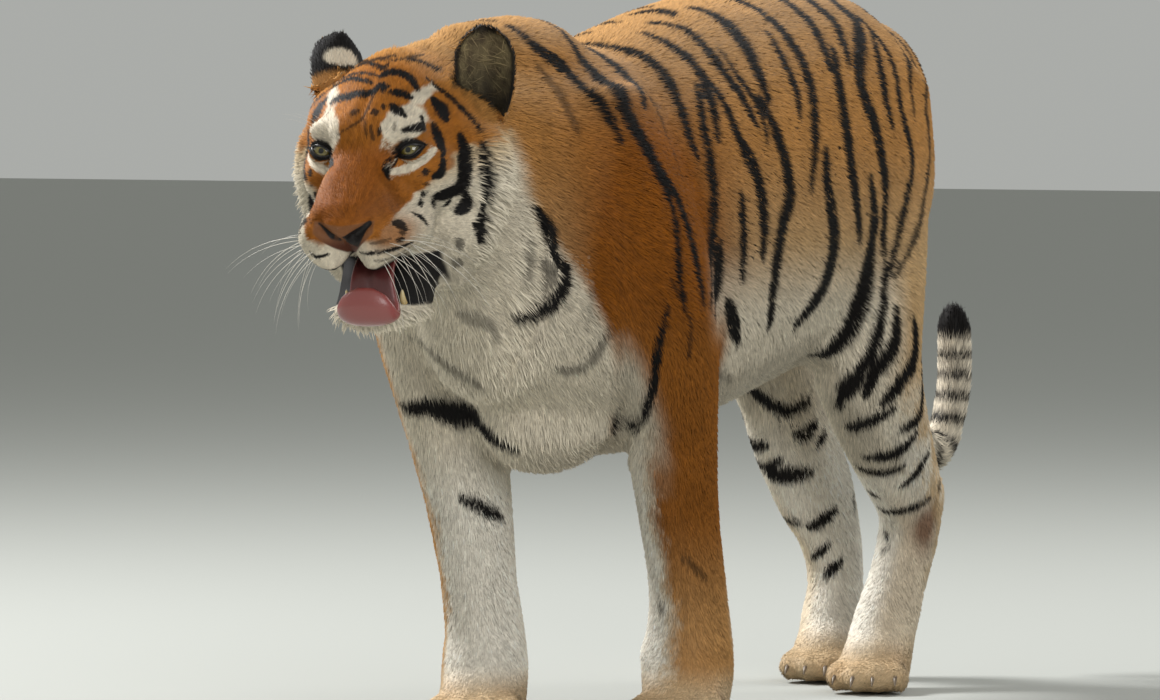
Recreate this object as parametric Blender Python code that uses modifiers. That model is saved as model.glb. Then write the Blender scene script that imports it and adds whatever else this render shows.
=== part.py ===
"""Bengal tiger, life size, standing in mid stride with its mouth open and tongue out.

The animal faces -Y with its left side towards +X, and stands on the plane z = 0.
The body is modelled whole: tapering lofts and rounded muscle forms are joined,
remeshed and smoothed, and then parted with thin cuts into head, jaw, ears, neck,
trunk, tail lengths and the parts of each leg. Eyes, tongue and lower canines are
pieces of their own. The outline is that of the coat's tips. Metres, +Z up.
"""
import math

import bpy
import bmesh
from mathutils import Matrix, Vector

# ---- driving dimensions ------------------------------------------------------------
GAP = 0.0004                 # clearance left where two pieces face each other
VOXEL = 0.0065               # grid size used to fuse the forms
RELAX_ALL = 7                # relaxation passes over the whole animal
RELAX_BODY = 22              # more passes behind the face and above the feet
TRIANGLES_KEPT = 0.0193       # share of faces kept after thinning
FINE_PRIORITY = 0.0012       # how strongly thinning spares the face and the feet
RING_SIDES = 28              # points round a lofted section
SPAN_STEPS = 5               # rings between two stations of a loft

EYE_RADIUS = 0.0200
EYE_OUT = 0.060              # from the middle of the face to an eye's centre
EYE_BACK = 0.008             # eye's centre behind the line between the lids' corners
HEAD_PITCH = math.radians(13)    # nose lowered
HEAD_YAW = math.radians(8.5)     # turned a little to its own left
HEAD_ROLL = math.radians(-1)     # right cheek a little lower
HEAD_PLACE = Vector((-0.030, -0.955, 0.782))     # midway between the eyes

EAR_HALF_WIDTH = 0.049
EAR_HEIGHT = 0.112
EAR_WIDEST = 0.42            # share of its height at which an ear is widest
EAR_FOOT = 0.090             # height above the eyes where the ears stand clear
EAR_CUP = 0.026              # how far the ear's sides curve forward
EAR_THICKNESS = 0.014
EAR_SPLAY = 14               # degrees that the ears lean apart
LEFT_EAR = ((0.097, 0.172, 0.034), 24)      # root in the head's axes, degrees turned out
RIGHT_EAR = ((-0.094, 0.172, 0.036), 122)   # this ear is turned back

CANINE_OUT = 0.046
CANINE_LENGTH = 0.030
CANINE_RADIUS = 0.0065

# Trunk, from breast to buttock: place along the body, top, bottom and half width.
TRUNK = [
    (-0.700, 0.938, 0.560, 0.100),
    (-0.640, 0.956, 0.480, 0.138),
    (-0.560, 0.946, 0.410, 0.163),
    (-0.470, 0.926, 0.368, 0.176),
    (-0.370, 0.932, 0.355, 0.184),
    (-0.250, 0.956, 0.378, 0.188),
    (-0.120, 0.982, 0.404, 0.188),
    (0.020, 1.000, 0.432, 0.183),
    (0.150, 1.008, 0.466, 0.174),
    (0.270, 1.004, 0.512, 0.164),
    (0.370, 0.988, 0.570, 0.142),
    (0.440, 0.962, 0.640, 0.112),
    (0.495, 0.920, 0.690, 0.080),
    (0.528, 0.875, 0.740, 0.048),
]

# Neck, from the shoulders to the skull: centre, half width, half height.
NECK = [
    ((-0.005, -0.560, 0.700), 0.150, 0.235),
    ((-0.012, -0.660, 0.728), 0.140, 0.212),
    ((-0.022, -0.740, 0.752), 0.130, 0.176),
    ((-0.028, -0.800, 0.775), 0.118, 0.142),
    ((-0.030, -0.840, 0.785), 0.100, 0.115),
]

# Each foreleg: shoulder, elbow, mid forearm, wrist, foot. Centre, half width, half depth.
FORELEG_LEFT = [
    ((0.080, -0.540, 0.860), 0.058, 0.090),
    ((0.112, -0.530, 0.740), 0.075, 0.125),
    ((0.130, -0.490, 0.610), 0.080, 0.128),
    ((0.134, -0.442, 0.500), 0.072, 0.106),
    ((0.130, -0.407, 0.400), 0.061, 0.084),
    ((0.126, -0.380, 0.300), 0.054, 0.069),
    ((0.126, -0.354, 0.200), 0.053, 0.062),
    ((0.126, -0.346, 0.130), 0.059, 0.064),
    ((0.128, -0.354, 0.075), 0.064, 0.070),
    ((0.130, -0.362, 0.030), 0.058, 0.064),
]
FORELEG_RIGHT = [
    ((-0.080, -0.560, 0.860), 0.058, 0.090),
    ((-0.116, -0.590, 0.740), 0.076, 0.122),
    ((-0.134, -0.584, 0.610), 0.082, 0.126),
    ((-0.136, -0.552, 0.500), 0.076, 0.108),
    ((-0.132, -0.527, 0.400), 0.065, 0.087),
    ((-0.123, -0.510, 0.300), 0.057, 0.070),
    ((-0.116, -0.497, 0.200), 0.052, 0.061),
    ((-0.111, -0.489, 0.130), 0.055, 0.062),
    ((-0.108, -0.495, 0.075), 0.060, 0.066),
    ((-0.106, -0.500, 0.030), 0.056, 0.062),
]

# Each hind leg: hip, thigh, knee, shank, hock, pastern, foot.
HINDLEG_LEFT = [
    ((0.068, 0.345, 0.880), 0.072, 0.110),
    ((0.080, 0.290, 0.760), 0.074, 0.146),
    ((0.098, 0.236, 0.630), 0.076, 0.155),
    ((0.114, 0.206, 0.520), 0.073, 0.134),
    ((0.120, 0.232, 0.430), 0.064, 0.104),
    ((0.112, 0.306, 0.350), 0.053, 0.084),
    ((0.100, 0.385, 0.275), 0.045, 0.068),
    ((0.091, 0.402, 0.220), 0.043, 0.057),
    ((0.084, 0.378, 0.150), 0.043, 0.050),
    ((0.079, 0.345, 0.085), 0.047, 0.055),
    ((0.077, 0.330, 0.030), 0.047, 0.058),
]
HINDLEG_RIGHT = [
    ((-0.072, 0.355, 0.880), 0.070, 0.110),
    ((-0.090, 0.345, 0.760), 0.078, 0.150),
    ((-0.108, 0.345, 0.630), 0.078, 0.145),
    ((-0.118, 0.362, 0.520), 0.071, 0.118),
    ((-0.117, 0.402, 0.430), 0.059, 0.086),
    ((-0.108, 0.430, 0.350), 0.053, 0.082),
    ((-0.096, 0.476, 0.275), 0.046, 0.086),
    ((-0.087, 0.502, 0.220), 0.043, 0.068),
    ((-0.080, 0.514, 0.150), 0.042, 0.049),
    ((-0.077, 0.495, 0.085), 0.046, 0.054),
    ((-0.075, 0.485, 0.030), 0.046, 0.057),
]

# Tail: hangs from the rump behind the thighs and curls up at its end. Centre, radius.
TAIL = [
    ((0.000, 0.460, 0.890), 0.046),
    ((-0.004, 0.530, 0.820), 0.042),
    ((-0.010, 0.562, 0.720), 0.037),
    ((-0.016, 0.574, 0.600), 0.034),
    ((-0.016, 0.580, 0.490), 0.032),
    ((-0.012, 0.592, 0.400), 0.031),
    ((-0.004, 0.612, 0.345), 0.030),
    ((0.006, 0.644, 0.318), 0.030),
    ((0.013, 0.676, 0.345), 0.030),
    ((0.017, 0.698, 0.400), 0.030),
    ((0.018, 0.705, 0.450), 0.030),
    ((0.017, 0.703, 0.500), 0.030),
    ((0.016, 0.701, 0.536), 0.020),
]

# Tongue, from the throat out over the lower lip, in the head's axes (left, back, up).
TONGUE = [
    ((0.000, 0.040, -0.128), 0.026, 0.010),
    ((0.002, 0.005, -0.136), 0.031, 0.011),
    ((0.005, -0.030, -0.146), 0.033, 0.012),
    ((0.008, -0.060, -0.155), 0.035, 0.012),
    ((0.011, -0.082, -0.172), 0.039, 0.012),
    ((0.013, -0.087, -0.192), 0.038, 0.013),
    ((0.014, -0.084, -0.206), 0.028, 0.010),
]

PAW_LENGTH = 0.170
FORE_PAW_WIDTH = 0.148
HIND_PAW_WIDTH = 0.124
FORE_PAW_TURN = 20           # degrees that the toes point towards the animal's left
HIND_PAW_TURN = 16

FUR_ORANGE = (0.58, 0.25, 0.06, 1.0)
FUR_WHITE = (0.80, 0.76, 0.68, 1.0)
FUR_BLACK = (0.02, 0.016, 0.013, 1.0)
IRIS_OLIVE = (0.20, 0.19, 0.07, 1.0)
TONGUE_PINK = (0.45, 0.16, 0.16, 1.0)
TOOTH_IVORY = (0.78, 0.68, 0.42, 1.0)


# ---- collections and materials -----------------------------------------------------
def clear_scene():
    for item in list(bpy.data.objects):
        bpy.data.objects.remove(item, do_unlink=True)


def new_collection(name):
    made = bpy.data.collections.new(name)
    bpy.context.scene.collection.children.link(made)
    return made


def new_material(name, colour, roughness):
    made = bpy.data.materials.new(name)
    made.use_nodes = True
    shader = made.node_tree.nodes["Principled BSDF"]
    shader.inputs["Base Color"].default_value = colour
    shader.inputs["Roughness"].default_value = roughness
    shader.inputs["Metallic"].default_value = 0.0
    return made


def new_object(name, mesh, collection):
    made = bpy.data.objects.new(name, mesh)
    collection.objects.link(made)
    return made


# ---- shapes ------------------------------------------------------------------------
def head_matrix():
    """From the head's own axes (left, back, up, origin between the eyes) to the world."""
    turn = Matrix.Rotation(HEAD_YAW, 4, "Z") @ Matrix.Rotation(HEAD_ROLL, 4, "Y")
    return Matrix.Translation(HEAD_PLACE) @ turn @ Matrix.Rotation(HEAD_PITCH, 4, "X")


HEAD = head_matrix()


def smooth_stations(stations, steps):
    """Catmull-Rom values between stations, each a flat list of numbers."""
    rows = [stations[0]] + list(stations) + [stations[-1]]
    fine = []
    for span in range(len(stations) - 1):
        before, start, end, after = rows[span:span + 4]
        for step in range(steps):
            t = step / steps
            fine.append([
                0.5 * (2 * b + (c - a) * t + (2 * a - 5 * b + 4 * c - d) * t * t
                       + (3 * b - a - 3 * c + d) * t ** 3)
                for a, b, c, d in zip(before, start, end, after)])
    fine.append(list(stations[-1]))
    return fine


def loft(shell, stations, squareness=2.0, place=Matrix.Identity(4),
         sides=RING_SIDES, steps=SPAN_STEPS):
    """A closed tube of rounded sections; each station is x, y, z, half width, half depth."""
    fine = smooth_stations(stations, steps)
    centres = [Vector(row[:3]) for row in fine]
    rings = []
    for index, row in enumerate(fine):
        ahead = centres[min(index + 1, len(fine) - 1)]
        behind = centres[max(index - 1, 0)]
        along = (ahead - behind).normalized()
        across = Vector((1, 0, 0)) - along * along.x
        across.normalize()
        other = along.cross(across)
        ring = []
        for side in range(sides):
            angle = 2 * math.pi * side / sides
            power = 2.0 / squareness
            c, s = math.cos(angle), math.sin(angle)
            wide = math.copysign(abs(c) ** power, c) * max(row[3], 0.001)
            deep = math.copysign(abs(s) ** power, s) * max(row[4], 0.001)
            spot = centres[index] + across * wide + other * deep
            ring.append(shell.verts.new(place @ spot))
        rings.append(ring)
    for one, two in zip(rings, rings[1:]):
        for side in range(sides):
            nxt = (side + 1) % sides
            shell.faces.new((one[side], one[nxt], two[nxt], two[side]))
    shell.faces.new(list(reversed(rings[0])))
    shell.faces.new(rings[-1])


def ball(shell, centre, radii, turn=(0, 0, 0), place=Matrix.Identity(4)):
    """A rounded muscle or pad form; turn is in degrees about X, Y and Z."""
    tilt = Matrix.Identity(4)
    for axis, degrees in zip("XYZ", turn):
        tilt = Matrix.Rotation(math.radians(degrees), 4, axis) @ tilt
    size = Matrix.Diagonal((*radii, 1.0))
    spot = place @ Matrix.Translation(centre) @ tilt @ size
    bmesh.ops.create_uvsphere(shell, u_segments=24, v_segments=16, radius=1.0, matrix=spot)


def pair(shell, centre, radii, turn=(0, 0, 0), place=Matrix.Identity(4)):
    """The same form on the left and on the right."""
    x, y, z = centre
    ball(shell, (x, y, z), radii, turn, place)
    ball(shell, (-x, y, z), radii, (turn[0], -turn[1], -turn[2]), place)


def ear_stand(root, swivel):
    """The ear's own axes: up along the ear, its opening towards -Y."""
    side = math.copysign(1, root[0])
    return (HEAD @ Matrix.Translation(root)
            @ Matrix.Rotation(side * math.radians(EAR_SPLAY), 4, "Y")
            @ Matrix.Rotation(side * math.radians(swivel), 4, "Z"))


def ear(shell, root, swivel):
    """A rounded, cupped ear: a bent sheet with thickness, turned outwards by swivel."""
    stand = ear_stand(root, swivel)
    rows, columns = 13, 13
    layers = []
    for layer in (-1, 1):
        grid = []
        for row in range(rows):
            rise = row / (rows - 1)
            away = (rise - EAR_WIDEST) / (1.02 - EAR_WIDEST if rise > EAR_WIDEST else 0.65)
            reach = EAR_HALF_WIDTH * math.sqrt(1 - away * away)
            line = []
            for column in range(columns):
                u = 2 * column / (columns - 1) - 1
                bend = EAR_CUP * (u * u * (1 - 0.4 * rise) + 0.35 * (rise - 0.5) ** 2)
                thin = 0.5 * EAR_THICKNESS * (1 - 0.3 * rise) * layer
                spot = Vector((reach * u, -bend - thin, EAR_HEIGHT * rise - 0.012))
                line.append(shell.verts.new(stand @ spot))
            grid.append(line)
        layers.append(grid)
    back, front = layers
    for row in range(rows - 1):
        for column in range(columns - 1):
            shell.faces.new((front[row][column], front[row][column + 1],
                             front[row + 1][column + 1], front[row + 1][column]))
            shell.faces.new((back[row][column], back[row + 1][column],
                             back[row + 1][column + 1], back[row][column + 1]))
        shell.faces.new((front[row][0], front[row + 1][0], back[row + 1][0], back[row][0]))
        shell.faces.new((front[row][-1], back[row][-1],
                         back[row + 1][-1], front[row + 1][-1]))
    for column in range(columns - 1):
        shell.faces.new((front[0][column], back[0][column],
                         back[0][column + 1], front[0][column + 1]))
        shell.faces.new((front[-1][column], front[-1][column + 1],
                         back[-1][column + 1], back[-1][column]))


def head_forms(shell):
    """Skull, cheeks, ruff, nose bridge, muzzle pads, lips and the open lower jaw."""
    ball(shell, (0, 0.098, 0.008), (0.096, 0.120, 0.092), place=HEAD)
    ball(shell, (0, 0.014, 0.010), (0.080, 0.046, 0.056), place=HEAD)
    pair(shell, (0.050, 0.010, 0.026), (0.034, 0.032, 0.022), place=HEAD)
    pair(shell, (0.062, 0.052, -0.036), (0.046, 0.074, 0.056), place=HEAD)
    pair(shell, (0.072, 0.105, 0.012), (0.048, 0.068, 0.060), place=HEAD)
    pair(shell, (0.106, 0.114, -0.066), (0.054, 0.056, 0.086), (0, 10, 16), HEAD)
    pair(shell, (0.078, 0.095, -0.125), (0.056, 0.062, 0.062), (0, 0, 10), HEAD)
    ball(shell, (0, 0.090, -0.110), (0.085, 0.090, 0.078), place=HEAD)
    bridge = [
        (0, 0.014, 0.022, 0.040, 0.028),
        (0, -0.022, -0.013, 0.034, 0.028),
        (0, -0.052, -0.041, 0.033, 0.028),
        (0, -0.078, -0.064, 0.032, 0.026),
        (0, -0.092, -0.078, 0.027, 0.020),
    ]
    loft(shell, bridge, 2.4, HEAD)
    ball(shell, (0, -0.036, -0.072), (0.060, 0.062, 0.046), place=HEAD)
    pair(shell, (0.037, -0.060, -0.094), (0.036, 0.042, 0.034), (0, 0, -10), HEAD)
    pair(shell, (0.054, -0.004, -0.094), (0.032, 0.056, 0.036), (0, 0, 12), HEAD)
    ball(shell, (0, -0.094, -0.078), (0.026, 0.019, 0.022), place=HEAD)
    jaw = [
        (0, 0.080, -0.136, 0.074, 0.044),
        (0, 0.035, -0.160, 0.066, 0.034),
        (0, -0.008, -0.182, 0.059, 0.027),
        (0, -0.042, -0.196, 0.052, 0.024),
    ]
    loft(shell, jaw, 2.4, HEAD)
    ball(shell, (0, -0.044, -0.197), (0.048, 0.028, 0.026), place=HEAD)


def trunk_forms(shell):
    loft(shell, [(0.0, y, (top + bottom) / 2, wide, (top - bottom) / 2)
                 for y, top, bottom, wide in TRUNK], 2.25)
    loft(shell, [(*spot, wide, deep) for spot, wide, deep in NECK], 2.1)
    ball(shell, (-0.010, -0.605, 0.895), (0.085, 0.160, 0.068))
    ball(shell, (-0.008, -0.640, 0.560), (0.115, 0.090, 0.130), (-20, 0, 0))
    ball(shell, (0.000, -0.500, 0.430), (0.100, 0.150, 0.088), (10, 0, 0))
    pair(shell, (0.110, 0.150, 0.560), (0.040, 0.150, 0.085), (25, 0, 0))


def paw(shell, ankle, width, turn):
    """A broad foot turned about the upright: sole pad, instep and four toes in an arc."""
    x, y, z = ankle
    half = width / 2
    place = Matrix.Translation((x, y, 0)) @ Matrix.Rotation(math.radians(turn), 4, "Z")
    ball(shell, (0, -0.018, 0.030), (half * 0.86, 0.070, 0.036), place=place)
    ball(shell, (0, -0.026, 0.058), (half * 0.76, 0.060, 0.034), (14, 0, 0), place)
    for toe in (-1.5, -0.5, 0.5, 1.5):
        reach = PAW_LENGTH * (0.52 - 0.050 * toe * toe)
        ball(shell, (toe * width * 0.232, -reach, 0.024),
             (width * 0.150, 0.042, 0.027), (0, 0, toe * 7), place)


def leg_forms(shell):
    """The four legs, each with its foot, dew claw bump or heel."""
    for stations in (FORELEG_LEFT, FORELEG_RIGHT, HINDLEG_LEFT, HINDLEG_RIGHT):
        loft(shell, [(*spot, wide, deep) for spot, wide, deep in stations])
    for stations in (FORELEG_LEFT, FORELEG_RIGHT):
        paw(shell, stations[-1][0], FORE_PAW_WIDTH, FORE_PAW_TURN)
        x, y, z = stations[-2][0]
        inner = -math.copysign(0.040, x)
        ball(shell, (x + inner, y - 0.030, 0.100), (0.020, 0.024, 0.026))
    for stations in (HINDLEG_LEFT, HINDLEG_RIGHT):
        paw(shell, stations[-1][0], HIND_PAW_WIDTH, HIND_PAW_TURN)
        x, y, z = stations[6][0]
        ball(shell, (x, y + 0.062, z - 0.008), (0.028, 0.028, 0.052), (-14, 0, 0))


def tail_forms(shell):
    loft(shell, [(*spot, radius, radius) for spot, radius in TAIL])


def apply_modifiers(item):
    """Replace an object's mesh by the one that its modifiers give."""
    state = bpy.context.evaluated_depsgraph_get()
    mesh = bpy.data.meshes.new_from_object(item.evaluated_get(state))
    item.modifiers.clear()
    item.data = mesh


def object_from_shell(name, shell, collection):
    bmesh.ops.recalc_face_normals(shell, faces=shell.faces)
    mesh = bpy.data.meshes.new(name)
    shell.to_mesh(mesh)
    shell.free()
    return new_object(name, mesh, collection)


def ramp(value, low, high):
    """0 below low, 1 above high, straight between."""
    return max(0.0, min(1.0, (value - low) / (high - low)))


def coarseness(spot):
    """1 where the form is plain, down to 0 on the face and at the toes."""
    local = HEAD.inverted() @ spot
    behind_face = ramp(local.y, 0.02, 0.16)
    below_ears = 1 - 0.95 * ramp(local.z, EAR_FOOT - 0.010, EAR_FOOT + 0.010)
    above_feet = 0.4 + 0.6 * ramp(spot.z, 0.03, 0.16)
    return min(behind_face, below_ears) if spot.y < -0.72 else above_feet


def thinning(spot):
    """How freely facets may grow: least on the ears, then the face and the toes."""
    local = HEAD.inverted() @ spot
    if spot.y < -0.72 and local.z > EAR_FOOT:
        return 0.12
    return 0.50 + 0.50 * coarseness(spot)


def add_weights(item, name, rule):
    group = item.vertex_groups.new(name=name)
    for vertex in item.data.vertices:
        group.add([vertex.index], rule(vertex.co), "REPLACE")
    return group.name


def whole_body(collection):
    """All forms joined, fused on a fine grid, relaxed, and thinned to facets."""
    shell = bmesh.new()
    trunk_forms(shell)
    head_forms(shell)
    leg_forms(shell)
    tail_forms(shell)
    ear(shell, *LEFT_EAR)
    ear(shell, *RIGHT_EAR)
    body = object_from_shell("body", shell, collection)
    fuse = body.modifiers.new("fuse", "REMESH")
    fuse.mode = "VOXEL"
    fuse.voxel_size = VOXEL
    relax = body.modifiers.new("relax", "SMOOTH")
    relax.iterations = RELAX_ALL
    apply_modifiers(body)
    soften = body.modifiers.new("soften", "SMOOTH")
    soften.iterations = RELAX_BODY
    soften.vertex_group = add_weights(body, "soften", coarseness)
    thin = body.modifiers.new("thin", "DECIMATE")
    thin.ratio = TRIANGLES_KEPT
    thin.vertex_group = add_weights(body, "thin", thinning)
    thin.vertex_group_factor = FINE_PRIORITY
    apply_modifiers(body)
    drop_slivers(body)
    return body


def loose_parts(shell):
    """The sets of vertices that hang together, largest first."""
    unseen = set(shell.verts)
    parts = []
    while unseen:
        seed = unseen.pop()
        found, queue = {seed}, [seed]
        while queue:
            for edge in queue.pop().link_edges:
                for vertex in edge.verts:
                    if vertex not in found:
                        found.add(vertex)
                        queue.append(vertex)
        unseen -= found
        parts.append(found)
    return sorted(parts, key=len, reverse=True)


def drop_slivers(item):
    """Delete the stray faces that thinning leaves beside the one closed body."""
    shell = bmesh.new()
    shell.from_mesh(item.data)
    for part in loose_parts(shell)[1:]:
        bmesh.ops.delete(shell, geom=list(part), context="VERTS")
    shell.to_mesh(item.data)
    shell.free()


def plate(shell, centre, normal, radius):
    """A round plate as thick as the clearance, which parts one piece from the next."""
    turn = Vector(normal).to_track_quat("Z", "Y").to_matrix().to_4x4()
    bmesh.ops.create_cone(shell, cap_ends=True, segments=48, radius1=radius,
                          radius2=radius, depth=GAP, matrix=Matrix.Translation(centre) @ turn)


# Where the body is parted: centre, direction across the plate, radius.
CUTS = [
    ((-0.030, -0.768, 0.750), (0, 1, -0.11), 0.200),
    ((-0.010, -0.655, 0.710), (0, 1, -0.17), 0.300),
    ((0.000, -0.060, 0.700), (0, 1, 0), 0.310),
    ((0.138, -0.450, 0.440), (1, 0, -0.73), 0.190),
    ((-0.141, -0.550, 0.440), (-1, 0, -0.73), 0.190),
    ((0.126, -0.380, 0.290), (0, -0.26, 0.96), 0.082),
    ((-0.127, -0.509, 0.290), (0, -0.10, 0.99), 0.082),
    ((0.120, -0.345, 0.112), (0, 0, 1), 0.080),
    ((-0.121, -0.492, 0.112), (0, 0, 1), 0.080),
    ((0.120, 0.235, 0.425), (0, -0.45, 0.89), 0.120),
    ((-0.120, 0.400, 0.425), (0, -0.45, 0.89), 0.110),
    ((0.096, 0.370, 0.250), (0, 0.10, 0.99), 0.108),
    ((-0.092, 0.492, 0.245), (0, 0.05, 0.99), 0.118),
    ((0.080, 0.352, 0.100), (0, 0.30, 0.95), 0.068),
    ((-0.078, 0.499, 0.100), (0, 0.20, 0.98), 0.068),
    ((-0.012, 0.568, 0.680), (0, 0, 1), 0.045),
    ((-0.015, 0.579, 0.530), (0, 0, 1), 0.045),
    ((-0.011, 0.594, 0.395), (0, 0, 1), 0.045),
    ((0.018, 0.701, 0.430), (0, 0, 1), 0.042),
]
EAR_CUT_RISE = 0.036         # height of the cut above the ear's root

# A point inside each piece of the parted body.
PLACES = {
    "neck": (-0.02, -0.715, 0.740),
    "chest": (0.0, -0.350, 0.700),
    "hindquarters": (0.0, 0.250, 0.660),
    "tail_base": (-0.014, 0.574, 0.610),
    "tail_middle": (-0.015, 0.584, 0.460),
    "tail_curl": (0.005, 0.645, 0.340),
    "tail_end": (0.018, 0.703, 0.480),
    "foreleg_left_upper": (0.130, -0.410, 0.400),
    "foreleg_left_lower": (0.122, -0.355, 0.200),
    "forepaw_left": (0.120, -0.380, 0.050),
    "foreleg_right_upper": (-0.132, -0.530, 0.400),
    "foreleg_right_lower": (-0.123, -0.497, 0.200),
    "forepaw_right": (-0.120, -0.530, 0.050),
    "hindleg_left_shank": (0.110, 0.320, 0.340),
    "hindleg_left_pastern": (0.086, 0.385, 0.170),
    "hindpaw_left": (0.078, 0.310, 0.050),
    "hindleg_right_shank": (-0.107, 0.440, 0.340),
    "hindleg_right_pastern": (-0.082, 0.515, 0.170),
    "hindpaw_right": (-0.076, 0.460, 0.050),
}
HEAD_PLACES = {
    "head": (0.0, 0.060, 0.000),
    "jaw": (0.0, -0.020, -0.195),
    "ear_left": (0.100, 0.176, 0.100),
    "ear_right": (-0.120, 0.172, 0.090),
}


def eye(shell, side, extra=0.0):
    spot = HEAD @ Matrix.Translation((side * EYE_OUT, EYE_BACK, 0))
    turn = Matrix.Rotation(math.radians(90), 4, "X")
    bmesh.ops.create_uvsphere(shell, u_segments=14, v_segments=8,
                              radius=EYE_RADIUS + extra, matrix=spot @ turn)


def canine(shell, side, extra=0.0):
    """A lower canine: a slightly curved cone, rooted in the jaw behind the lip."""
    base = Vector((side * CANINE_OUT, -0.040, -0.180))
    stations = []
    for step in range(5):
        t = step / 4
        radius = CANINE_RADIUS * (1 - 0.82 * t) + extra
        lean = Vector((side * 0.004 * t, 0.006 * t * t, CANINE_LENGTH * t))
        stations.append((*(base + lean), radius, radius * 1.2))
    loft(shell, stations, place=HEAD, sides=8, steps=1)


def tongue(shell, extra=0.0):
    loft(shell, [(*spot, wide + extra, deep + extra) for spot, wide, deep in TONGUE],
         2.4, HEAD, sides=12, steps=2)


def cut_away(body, shell, name, collection):
    """Take a cutter's volume out of the body."""
    cutter = object_from_shell(name, shell, collection)
    cutter.hide_render = True
    cutter.display_type = "WIRE"
    cut = body.modifiers.new(name, "BOOLEAN")
    cut.operation = "DIFFERENCE"
    cut.solver = "EXACT"
    cut.object = cutter
    apply_modifiers(body)


def part_body(body, collection):
    """Cut the floor flats, the sockets and the parting planes out of the body."""
    floor = bmesh.new()
    bmesh.ops.create_cube(floor, size=1.0, matrix=Matrix.Translation((0, -0.1, -0.05))
                          @ Matrix.Diagonal((1.0, 1.8, 0.1, 1.0)))
    cut_away(body, floor, "floor", collection)
    for side, word in ((1, "left"), (-1, "right")):
        lids = bmesh.new()
        ball(lids, (side * (EYE_OUT + 0.001), -0.016, 0.0), (0.0185, 0.022, 0.0125),
             (0, side * -14, 0), HEAD)
        cut_away(body, lids, "lids_" + word, collection)
        socket = bmesh.new()
        eye(socket, side, GAP)
        cut_away(body, socket, "socket_" + word, collection)
        root = bmesh.new()
        canine(root, side, GAP)
        cut_away(body, root, "tooth_socket_" + word, collection)
    bed = bmesh.new()
    tongue(bed, GAP)
    cut_away(body, bed, "tongue_bed", collection)
    cuts = list(CUTS)
    for root, swivel in (LEFT_EAR, RIGHT_EAR):
        stand = ear_stand(root, swivel)
        up = stand.to_3x3() @ Vector((0, 0, 1))
        cuts.append((stand @ Vector((0, -0.5 * EAR_CUP, EAR_CUT_RISE)), up, 0.064))
    for number, (centre, normal, radius) in enumerate(cuts):
        parting = bmesh.new()
        plate(parting, centre, normal, radius)
        cut_away(body, parting, "plate_" + str(number), collection)
    behind_chin = bmesh.new()
    bmesh.ops.create_cube(behind_chin, size=1.0,
                          matrix=HEAD @ Matrix.Translation((0, 0.028, -0.184))
                          @ Matrix.Rotation(math.radians(42), 4, "X")
                          @ Matrix.Diagonal((0.170, GAP, 0.130, 1.0)))
    cut_away(body, behind_chin, "plate_jaw", collection)


def name_pieces(body, collection):
    """Give each loose piece of the parted body its own object and name."""
    shell = bmesh.new()
    shell.from_mesh(body.data)
    places = {name: Vector(spot) for name, spot in PLACES.items()}
    places.update({name: HEAD @ Vector(spot) for name, spot in HEAD_PLACES.items()})
    made = {}
    for found in loose_parts(shell):
        spots = [vertex.co for vertex in found]
        middle = sum(spots, Vector()) / len(spots)
        name = min(places, key=lambda key: (places[key] - middle).length)
        if name in made:
            raise ValueError("two pieces lie nearest to " + name)
        order = {vertex: index for index, vertex in enumerate(found)}
        faces = {face for vertex in found for face in vertex.link_faces}
        mesh = bpy.data.meshes.new(name)
        mesh.from_pydata(spots, [], [[order[v] for v in face.verts] for face in faces])
        made[name] = new_object(name, mesh, collection)
    shell.free()
    bpy.data.objects.remove(body, do_unlink=True)
    return made


def main():
    clear_scene()
    animal = new_collection("bengal_tiger")
    cutters = new_collection("cutters")
    fur = new_material("coat, orange", FUR_ORANGE, 0.8)
    body = whole_body(animal)
    part_body(body, cutters)
    made = name_pieces(body, animal)
    for side, word in ((1, "left"), (-1, "right")):
        shell = bmesh.new()
        eye(shell, side)
        made["eye_" + word] = object_from_shell("eye_" + word, shell, animal)
        shell = bmesh.new()
        canine(shell, side)
        made["canine_" + word] = object_from_shell("canine_" + word, shell, animal)
    shell = bmesh.new()
    tongue(shell)
    made["tongue"] = object_from_shell("tongue", shell, animal)
    looks = {
        "eye": new_material("eye, olive iris", IRIS_OLIVE, 0.1),
        "tongue": new_material("tongue, moist pink", TONGUE_PINK, 0.4),
        "canine": new_material("tooth, ivory", TOOTH_IVORY, 0.3),
    }
    corners = [vertex.co for item in made.values() for vertex in item.data.vertices]
    middle = [(min(c[axis] for c in corners) + max(c[axis] for c in corners)) / 2
              for axis in (0, 1)]
    centre = Matrix.Translation((-middle[0], -middle[1], 0.0))
    for item in list(made.values()) + list(cutters.objects):
        item.data.transform(centre)
    for name, item in made.items():
        item.data.materials.clear()
        item.data.materials.append(looks.get(name.split("_")[0], fur))
        item.data.shade_smooth()
        item.data.set_sharp_from_angle(angle=math.radians(45))


main()
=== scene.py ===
"""Bengal tiger, life size: skin, coat, eyes, mouth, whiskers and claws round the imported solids.

The animal faces -Y with its left side towards +X. Lengths are metres in the row frame;
places on the face are in the head's own axes: left, back, up, from midway between the eyes.
"""

import math

import bmesh
import bpy
import numpy as np
from bpy.props import FloatProperty, FloatVectorProperty, PointerProperty
from mathutils import Matrix, Vector


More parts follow.
